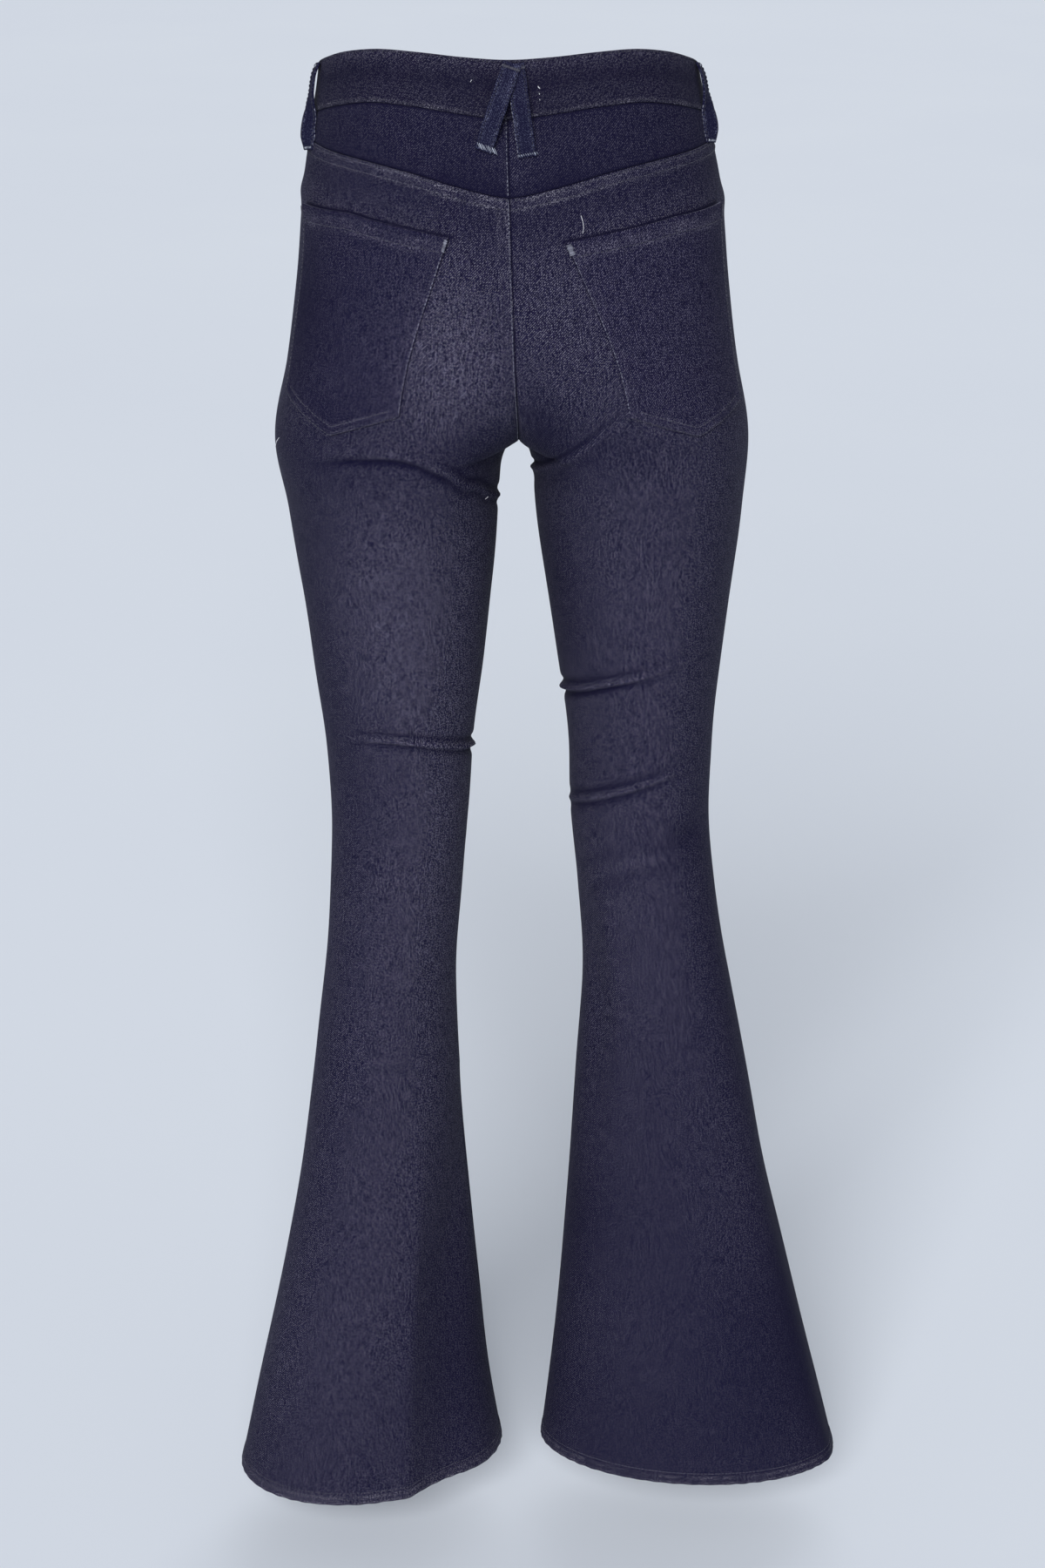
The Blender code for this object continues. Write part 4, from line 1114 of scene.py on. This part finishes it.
for name, (leg, rear, top_out, bottom_out, bottom_down, layers) in LOOPS.items():
    out_share = top_out + (bottom_out - top_out) * share
    s = np.sign(out_share) * np.arcsin(np.sqrt(np.abs(out_share))) / np.pi
    s = s if rear else 1 - s
    top_down = waist("top", abs(s[0])) + 0.3
    down = top_down + (bottom_down - top_down) * share
    on_band = np.clip((waist("seam", np.abs(s)) - down) / 0.4, 0, 1) * BAND_PROUD
    on_layers = layers * LOOP_LIFT * np.clip((1 - share) / LOOP_PARTED, 0, 1)
    stands = SIDE_LOOP_SHAPE if "side" in name else LOOP_SHAPE
    shape = smooth_curve(share, np.linspace(0, 1, len(stands)), stands)
    off = 0.03 + on_band + on_layers + LOOP_STAND_OFF * np.clip(shape, 0, None)
    normal = outward(leg, s, down)
    spine = form(leg, s, down) + normal * off[:, None]
    along = np.gradient(spine, axis=0)
    across = unit(np.cross(along, normal))
    out = unit(np.cross(across, along))
    out *= np.sign((out * normal).sum(axis=1, keepdims=True))
    if "side" in name:
        twist = LOOP_TWIST * leg * np.interp(share, TWIST_AT, TWIST_SHARE)[:, None]
        across, out = (
            across * np.cos(twist) + out * np.sin(twist),
            out * np.cos(twist) - across * np.sin(twist),
        )
    wobble = 1 + 0.02 * np.sin(share * 23 + len(name))
    spread = across[:, None] * offset[:, None] * wobble[:, None, None]
    face = spine[:, None] + spread + out[:, None] * crest[:, None]
    lining = spine[:, None] + spread + out[:, None] * belly[:, None]
    length = arc(spine[:, None], 0)
    flat = np.stack([offset + 0 * length, length + 0 * place], -1) * CM
    edge_gap = (1 - off_middle) * LOOP_WIDTH / 2
    edge_rubbed = 0.6 if name == "loop_cross_under" else 0.25
    fade_and_shade = LOOP_FADE.get(name, -0.48)
    fade_and_shade = fade_and_shade + edge_rubbed * np.sin(share * 3.0)[:, None] * bell(place - 0.95, 0.10)
    over = layers * 0.5 * np.clip(1.2 - 2 * share, 0, 1)[:, None]
    fade_and_shade = fade_and_shade + over * bell(place + 0.62, 0.24)
    marks = {"seam": (edge_gap + 0.02) * CM, "wear": 0.35, "fade_and_shade": fade_and_shade}
    loop = cloth_piece(f"{name}_cloth", face, lining, flat, marks, [loop_denim, loop_denim])
    loops[name] = {
        "face": face, "normal": np.broadcast_to(out[:, None], face.shape),
        "around": arc(face, 1), "along": arc(face, 0), "across": across,
    }
    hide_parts(name)

# ---------------------------------------------------------------- the stitching
# Spun thread in 3 mm stitches: twin rows on the yoke seam, the scoops and the pockets'
# lower edges, single rows down the centre seam and along the other edges, a curved pair
# beside the fly, and bar tacks where a pull would tear.

STITCH_PITCH, STITCH_LENGTH, THREAD = 0.29, 0.20, 0.026
RING = 6  # sides of a thread
STEPS = np.array([0, 0.12, 0.35, 0.65, 0.88, 1])
THICKNESS = np.array([0.3, 0.8, 1, 1, 0.8, 0.3])


def thread_finish(name, dark, pale, bright):
    """Spun thread: darker in its twist, and each stitch a little different."""
    made, shop, shader = new_finish(name)
    fluff = shop.noise(shop.node("TexCoord").outputs["Object"], 2600.0, 1.0)
    lit = shop.math("MULTIPLY", shop.mark("shade"), bright)
    amount = shop.math("MULTIPLY_ADD", fluff, 0.5, lit, clamp=True)
    bumped = shop.node("Bump", Height=fluff, Strength=0.5, Distance=0.0001)
    shop.feed(shader, "Base Color", shop.mixed(amount, (*dark, 1), (*pale, 1)))
    shop.feed(shader, "Roughness", shop.scaled(fluff, 0.3, 0.5))
    shop.feed(shader, "Normal", bumped.outputs["Normal"])
    return made


tonal_thread = thread_finish("tonal_thread", (0.008, 0.008, 0.024), (0.12, 0.12, 0.16), 0.40)
edge_thread = thread_finish("edge_thread", (0.016, 0.017, 0.038), (0.30, 0.31, 0.39), 0.60)
dark_thread = thread_finish("dark_thread", (0.006, 0.006, 0.020), (0.030, 0.030, 0.055), 0.30)
tack_thread = thread_finish("tack_thread", (0.022, 0.026, 0.062), (0.50, 0.54, 0.64), 0.8)
white_thread = thread_finish("white_thread", (0.45, 0.46, 0.52), (0.85, 0.86, 0.90), 1.0)


def tube_faces(rings, sides):
    """The walls and the two closed ends of a tube of points, ring after ring."""
    k, i = np.meshgrid(np.arange(rings - 1) * sides, np.arange(sides), indexing="ij")
    after = (i + 1) % sides
    walls = np.stack([k + i, k + after, k + sides + after, k + sides + i], -1)
    return walls.reshape(-1, 4), i[0, ::-1], k[-1] + sides + i[0]


def sew_threads(name, starts, ends, normals, finish, radius=THREAD, arch=0.02):
    """One mesh of short arched threads, each from its start to its end, in cm."""
    axis = unit(ends - starts)
    side = unit(np.cross(normals, axis))
    up = np.cross(axis, side)
    angle = np.arange(RING) / RING * math.tau
    spine = starts[:, None] + (ends - starts)[:, None] * STEPS[:, None]
    spine = spine + up[:, None] * (arch * 4 * STEPS * (1 - STEPS))[:, None]
    spine = spine + up[:, None] * radius * 0.35
    turned = np.cos(angle)[:, None] * side[:, None, None]
    turned = turned + np.sin(angle)[:, None] * up[:, None, None]
    points = spine[:, :, None] + radius * THICKNESS[:, None, None] * turned
    base = np.arange(len(starts))[:, None] * len(STEPS) * RING
    walls, *caps = tube_faces(len(STEPS), RING)
    faces = (base[..., None] + walls).reshape(-1, 4).tolist()
    for cap in caps:
        faces += (base + cap).tolist()
    piece = add_mesh(name, points, faces, [finish])
    shade = chance.uniform(0, 1, len(starts)) ** 2.2
    shade = np.repeat(shade, len(STEPS) * RING).astype(np.float32)
    piece.data.attributes.new("shade", "FLOAT", "POINT").data.foreach_set("value", shade)
    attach(piece, "root")
    return piece


def seam_line(grid, gap, edge):
    """Points and normals on a piece's face, a fixed gap inside one of its edges."""
    face, normal, around, along = (grid[key] for key in ("face", "normal", "around", "along"))
    gaps = {
        "top": along, "bottom": along[-1:] - along,
        "first": around, "last": around[:, -1:] - around,
    }[edge]
    if edge in ("first", "last"):
        face, normal, gaps = face.swapaxes(0, 1), normal.swapaxes(0, 1), gaps.T
    if edge in ("bottom", "last"):
        face, normal, gaps = face[::-1], normal[::-1], gaps[::-1]
    both = np.concatenate([face, normal], axis=-1)
    picked = np.array([
        [np.interp(gap, gaps[:, j], both[:, j, k]) for k in range(6)] for j in range(len(both[0]))
    ])
    return picked[:, :3], picked[:, 3:]


def in_stitches(points, normals):
    """The start, end and normal of each stitch along a line."""
    run = arc(points, 0)
    starts = np.arange(0.1, run[-1] - STITCH_LENGTH, STITCH_PITCH)
    starts = starts + chance.uniform(-0.02, 0.02, len(starts))
    return [
        np.stack([np.interp(starts + STITCH_LENGTH * share, run, column) for column in of.T], -1)
        for share, of in ((0, points), (1, points), (0.5, normals))
    ]


def stitch_rows(name, lines, finish=tonal_thread):
    """One piece of all the stitches along some lines."""
    sew_threads(name, *map(np.concatenate, zip(*(in_stitches(*line) for line in lines))), finish)


def kept(line, keep):
    """The part of a line that is sewn."""
    return line[0][keep], line[1][keep]


def inset(run, gap):
    """Where a run is farther than a gap from both its ends."""
    return (run > gap) & (run[-1] - run > gap)


seat_lines = [seam_line(backs[leg], gap, "top") for leg in (1, -1) for gap in STITCH_ROWS]
stitch_rows("stitches_yokes_and_seat", seat_lines)

points, normals = seam_line(backs[1], EDGE_ROW, "first")
above_arch = -points[:, 2] < CROTCH - 0.6
edge_lines = [kept((points, normals), above_arch), seam_line(yokes[1], EDGE_ROW, "first")]
pocket_lines = []
for grid in pockets.values():
    for edge, lines, column in (("first", edge_lines, 0), ("last", pocket_lines, -1)):
        height = grid["along"][:, column]
        sewn = (height > 0.12) & (height[-1] - height > EDGE_ROW)
        lines.append(kept(seam_line(grid, EDGE_ROW, edge), sewn))
    sewn = inset(grid["around"][-1], EDGE_ROW)
    pocket_lines.append(kept(seam_line(grid, EDGE_ROW, "bottom"), sewn))
stitch_rows("stitches_edges", edge_lines, edge_thread)

INNER_ROW = STITCH_ROWS[1]
for grid in pockets.values():
    for edge, row, gap, ends in (("top", 0, MOUTH_ROW, 0.1), ("bottom", -1, INNER_ROW, INNER_ROW)):
        pocket_lines.append(kept(seam_line(grid, gap, edge), inset(grid["around"][row], ends)))
stitch_rows("stitches_pockets", pocket_lines)

band_lines = [seam_line(band_grid, BAND_ROW, edge) for edge in ("top", "bottom")]
stitch_rows("stitches_waistband", band_lines, dark_thread)

HEM_ROW = 2  # the row of points that the hem is sewn along
hem_lines = [
    [np.concatenate([grid[key][HEM_ROW], grid[key][HEM_ROW, :1]]) for key in ("face", "normal")]
    for grid in hems.values()
]
stitch_rows("stitches_hems", hem_lines)

front_lines = []
for grid in fronts.values():
    for gap in STITCH_ROWS:
        line = seam_line(grid, gap + 0.02, "top")
        front_lines.append(kept(line, np.arange(len(line[0])) < SCOOP_COLUMNS + 3))
FLY_ROW_S, FLY_BOTTOM, FLY_BEND, FLY_ROWS_APART = 0.832, 21.6, 3.2, 0.55
start = waist("seam", 0.83) + 0.15
turn = np.linspace(0, 1, 60)
straight = np.clip(turn / 0.6, 0, 1)
bend = np.clip((turn - 0.6) / 0.4, 0, 1) * math.pi / 2
for row in (0, 1):
    across = 0.012 * row
    s = FLY_ROW_S + across + 0.006 * straight + (0.158 - across) * (1 - np.cos(bend))
    down = start + (FLY_BOTTOM - FLY_BEND - start) * straight
    down = down + (FLY_BEND - FLY_ROWS_APART * row) * np.sin(bend)
    normal = outward(1, s, down)
    front_lines.append((form(1, s, down) + normal * relief(1, s, down)[:, None], normal))
stitch_rows("stitches_fronts", front_lines, edge_thread)

loop_lines = [seam_line(grid, 0.2, edge) for grid in loops.values() for edge in ("first", "last")]
stitch_rows("stitches_loops", loop_lines, dark_thread)
pale_edges = []
for name, sewn_from in (
    ("loop_cross_under", 0.38), ("loop_side_left", 0.50), ("loop_side_right", 0.50)
):
    grid = loops[name]
    first_x, last_x = (abs(grid["face"][:, column, 0].mean()) for column in (0, -1))
    pale_on_last = name == "loop_cross_under" or last_x < first_x
    line = seam_line(grid, 0.05, "last" if pale_on_last else "first")
    pale_edges.append(kept(line, np.linspace(0, 1, len(line[0])) > sewn_from))
stitch_rows("stitches_loop_edges", pale_edges, edge_thread)


def bar_tack(centre, direction, normal, length, width, pitch=0.055, lean=0.0):
    """Threads laid side by side over a short line, as starts, ends and normals."""
    direction = unit(direction)
    cross = unit(np.cross(normal, direction))
    place = np.arange(-length / 2, length / 2, pitch)[:, None]
    sway = chance.uniform(-0.12, 0.12, (len(place), 2)) * width
    starts = centre + direction * place - cross * (width / 2 + sway[:, :1])
    ends = centre + direction * (place + pitch + lean) + cross * (width / 2 + sway[:, 1:])
    return starts, ends, np.broadcast_to(normal, starts.shape)


# How each kind of loop is tacked: its end rows, length, width, spacing and lean.
PLAIN_TACK = (LOOP_WIDTH, 0.20, 0.055, 0.0)
LOOP_TACKS = {
    "loop_cross_over": ((69, 1.3, 0.34, 0.15, -0.50), (4, *PLAIN_TACK)),
    "loop_cross_under": ((70, LOOP_WIDTH, 0.18, 0.15, -0.24), (4, *PLAIN_TACK)),
    "loop_side": ((70, 0.9, 0.15, 0.13, -0.10), (3, 0.30, 0.16, 0.08, 0.05)),
    "loop_front": ((69, *PLAIN_TACK), (4, *PLAIN_TACK)),
}
tacks, dark_tacks, pocket_tacks = [], [], []
for name, grid in loops.items():
    middle = grid["face"].shape[1] // 2
    kind = name.rsplit("_", 1)[0]
    for row, *size in LOOP_TACKS[name if kind == "loop_cross" else kind]:
        centre, normal = grid["face"][row, middle], grid["normal"][row, middle]
        pale = kind == "loop_side" or (kind == "loop_cross" and row > 60)
        tack = bar_tack(centre, grid["across"][row], normal, *size)
        (tacks if pale else dark_tacks).append(tack)
INNER_TACKS, OUTER_TACK = {1: (0.85, 0.24), -1: (0.75, 0.40)}, (0.8, 0.2)
for leg, grid in pockets.items():
    reach = INNER_TACKS[leg][0] / 2 + 0.02
    for column, made, size in ((2, pocket_tacks, INNER_TACKS[leg]), (-3, dark_tacks, OUTER_TACK)):
        upper, lower = grid["face"][3, column], grid["face"][12, column]
        normal = grid["normal"][3, column]
        centre = upper + unit(lower - upper) * reach + normal * 0.03
        made.append(bar_tack(centre, lower - upper, normal, *size))
for grid in fronts.values():
    upright = np.array([0.0, 0.0, 1.0])
    dark_tacks.append(bar_tack(grid["face"][3, 8], upright, grid["normal"][3, 8], 0.7, 0.2))
for name, made, thread in (
    ("bar_tacks", tacks, tack_thread),
    ("pocket_tacks", pocket_tacks, edge_thread),
    ("dark_tacks", dark_tacks, tonal_thread),
):
    sew_threads(name, *map(np.concatenate, zip(*made)), thread, radius=0.030, arch=0.035)

# ---------------------------------------------------------------- the button
# A metal shank button on the left end of the waistband, near the centre front, with a
# raised rim, a dished middle and a plain boss.

BUTTON_S, BUTTON_DROP, BUTTON_SIDES = 0.885, 1.9, 72
BUTTON_PROFILE = np.array([  # how far out from its axis, and how far above the cloth
    (0.26, 0.0), (0.28, 0.02), (0.28, 0.12), (0.74, 0.12), (0.81, 0.135), (0.85, 0.17),
    (0.86, 0.205), (0.845, 0.25), (0.80, 0.295), (0.73, 0.325), (0.66, 0.33), (0.60, 0.315),
    (0.55, 0.275), (0.50, 0.245), (0.40, 0.235), (0.34, 0.245), (0.30, 0.27), (0.24, 0.285),
    (0.12, 0.29),
])
down = waist("top", BUTTON_S) + BUTTON_DROP
normal = outward(1, BUTTON_S, down)
centre = form(1, BUTTON_S, down) + normal * (BAND_PROUD + 0.03)
side = unit(np.cross(normal, (0, 0, 1.0)))
up = np.cross(normal, side)
angle = np.arange(BUTTON_SIDES)[:, None] / BUTTON_SIDES * math.tau
turned = np.cos(angle) * side + np.sin(angle) * up
points = centre + BUTTON_PROFILE[:, :1, None] * turned + BUTTON_PROFILE[:, 1:, None] * normal
walls, *caps = tube_faces(len(BUTTON_PROFILE), BUTTON_SIDES)
brass, shop, shader = new_finish("aged_brass")
place = shop.node("TexCoord").outputs["Object"]
tarnish = shop.above(shop.noise(place, 900.0, 4.0, 0.6), 0.42, 0.66)
bumped = shop.node("Bump", Height=shop.noise(place, 2400.0), Strength=0.3, Distance=0.0001)
tone = shop.mixed(tarnish, (0.46, 0.37, 0.27, 1), (0.24, 0.18, 0.13, 1))
shop.feed(shader, "Base Color", tone)
shop.feed(shader, "Roughness", shop.scaled(tarnish, 0.25, 0.28))
shop.feed(shader, "Metallic", 1.0)
shop.feed(shader, "Normal", bumped.outputs["Normal"])
faces = walls.tolist() + [cap.tolist() for cap in caps]
button = add_mesh("button_metal", points, faces, [brass])
button.data.set_sharp_from_angle(angle=math.radians(50))
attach(button, "root")
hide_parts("button")

# ---------------------------------------------------------------- loose thread ends
# Short ends of white thread left from sewing: by the crossed loops, at one pocket's
# mouth, in the crease under the seat and at the hip.

ENDS = (  # leg, then points (s, down, stand-off) along the end
    (-1, ((0.128, 1.78, 0.10), (0.130, 1.86, 0.12), (0.132, 1.90, 0.10))),
    (-1, ((0.128, 1.82, 0.11), (0.130, 1.90, 0.13), (0.132, 1.94, 0.11))),
    (-1, ((0.130, 2.22, 0.09), (0.131, 2.27, 0.095), (0.131, 2.32, 0.08))),
    (-1, ((0.131, 2.60, 0.08), (0.131, 2.64, 0.09), (0.132, 2.68, 0.08))),
    (1, ((0.139, 1.38, 0.10), (0.1405, 1.44, 0.12), (0.142, 1.52, 0.09))),
    (-1, ((0.192, 11.25, 0.12), (0.1935, 10.9, 0.20), (0.1928, 10.5, 0.22), (0.191, 10.1, 0.14))),
    (1, ((0.0785, 31.40, 0.20), (0.0812, 31.47, 0.24), (0.0838, 31.53, 0.22))),
    (1, ((0.437, 27.0, 0.06), (0.4385, 27.3, 0.22), (0.4395, 27.7, 0.30))),
)
pieces = []
for leg, route in ENDS:
    fine = np.linspace(0, 1, 4 * len(route))
    knots = np.linspace(0, 1, len(route))
    s, down, off = (np.interp(fine, knots, part) for part in np.array(route).T)
    normal = outward(leg, s, down)
    points = form(leg, s, down) + normal * (relief(leg, s, down) + off)[:, None]
    step = points[1:] - points[:-1]
    pieces.append((points[:-1], points[1:] + 0.3 * step, normal[:-1]))
starts, ends, normals = map(np.concatenate, zip(*pieces))
sew_threads("loose_threads", starts, ends, normals, white_thread, radius=0.019, arch=0.0)

# ---------------------------------------------------------------- the studio
# A pale floor that runs out of sight, soft light from behind the camera and a little
# from the other side, and the camera a little above the waist, looking down.

FLOOR_Z, FLOOR_REACH = -122.0, 2000.0
angle = np.linspace(0, math.tau, 97)[:-1]
rim = np.stack([FLOOR_REACH * np.cos(angle), FLOOR_REACH * np.sin(angle), 0 * angle + FLOOR_Z], -1)
paper, shop, shader = new_finish("pale_floor")
uneven = shop.noise(shop.node("TexCoord").outputs["Object"], 1.2, 3.0)
tone = shop.mixed(uneven, (0.75, 0.80, 0.885, 1), (0.78, 0.83, 0.905, 1))
for key, value in (("Base Color", tone), ("Roughness", 0.9), ("Specular IOR Level", 0.1)):
    shop.feed(shader, key, value)
floor = add_mesh("studio_floor", rim, [list(range(len(rim)))], [paper])


def soft_sun(name, azimuth, elevation, strength, spread):
    """A broad light from far off, at an azimuth from +Y towards +X and a height."""
    light = bpy.data.lights.new(name, "SUN")
    light.energy, light.angle = strength, math.radians(spread)
    lamp = bpy.data.objects.new(name, light)
    a, e = math.radians(azimuth), math.radians(elevation)
    towards = (math.sin(a) * math.cos(e), math.cos(a) * math.cos(e), math.sin(e))
    lamp.rotation_mode = "QUATERNION"
    lamp.rotation_quaternion = Vector(towards).to_track_quat("Z", "Y")
    bpy.context.scene.collection.objects.link(lamp)


soft_sun("key_light", 9, 30, 3.1, 34)
soft_sun("front_light", 195, 38, 0.7, 50)
world = bpy.data.worlds.new("studio")
world.use_nodes = True
air = world.node_tree.nodes["Background"]
air.inputs["Color"].default_value = (0.86, 0.90, 0.97, 1)
air.inputs["Strength"].default_value = 0.24
bpy.context.scene.world = world
bpy.context.scene.view_settings.view_transform = "Standard"

LOOK_DOWN = 22.05
camera = bpy.data.objects.new("camera", bpy.data.cameras.new("camera"))
camera.data.lens = 64
camera.data.sensor_width = 36
camera.location = (-0.01, 1.99, 0.248)
camera.rotation_euler = (math.radians(90 - LOOK_DOWN), 0, math.radians(180))
bpy.context.scene.collection.objects.link(camera)
bpy.context.scene.camera = camera
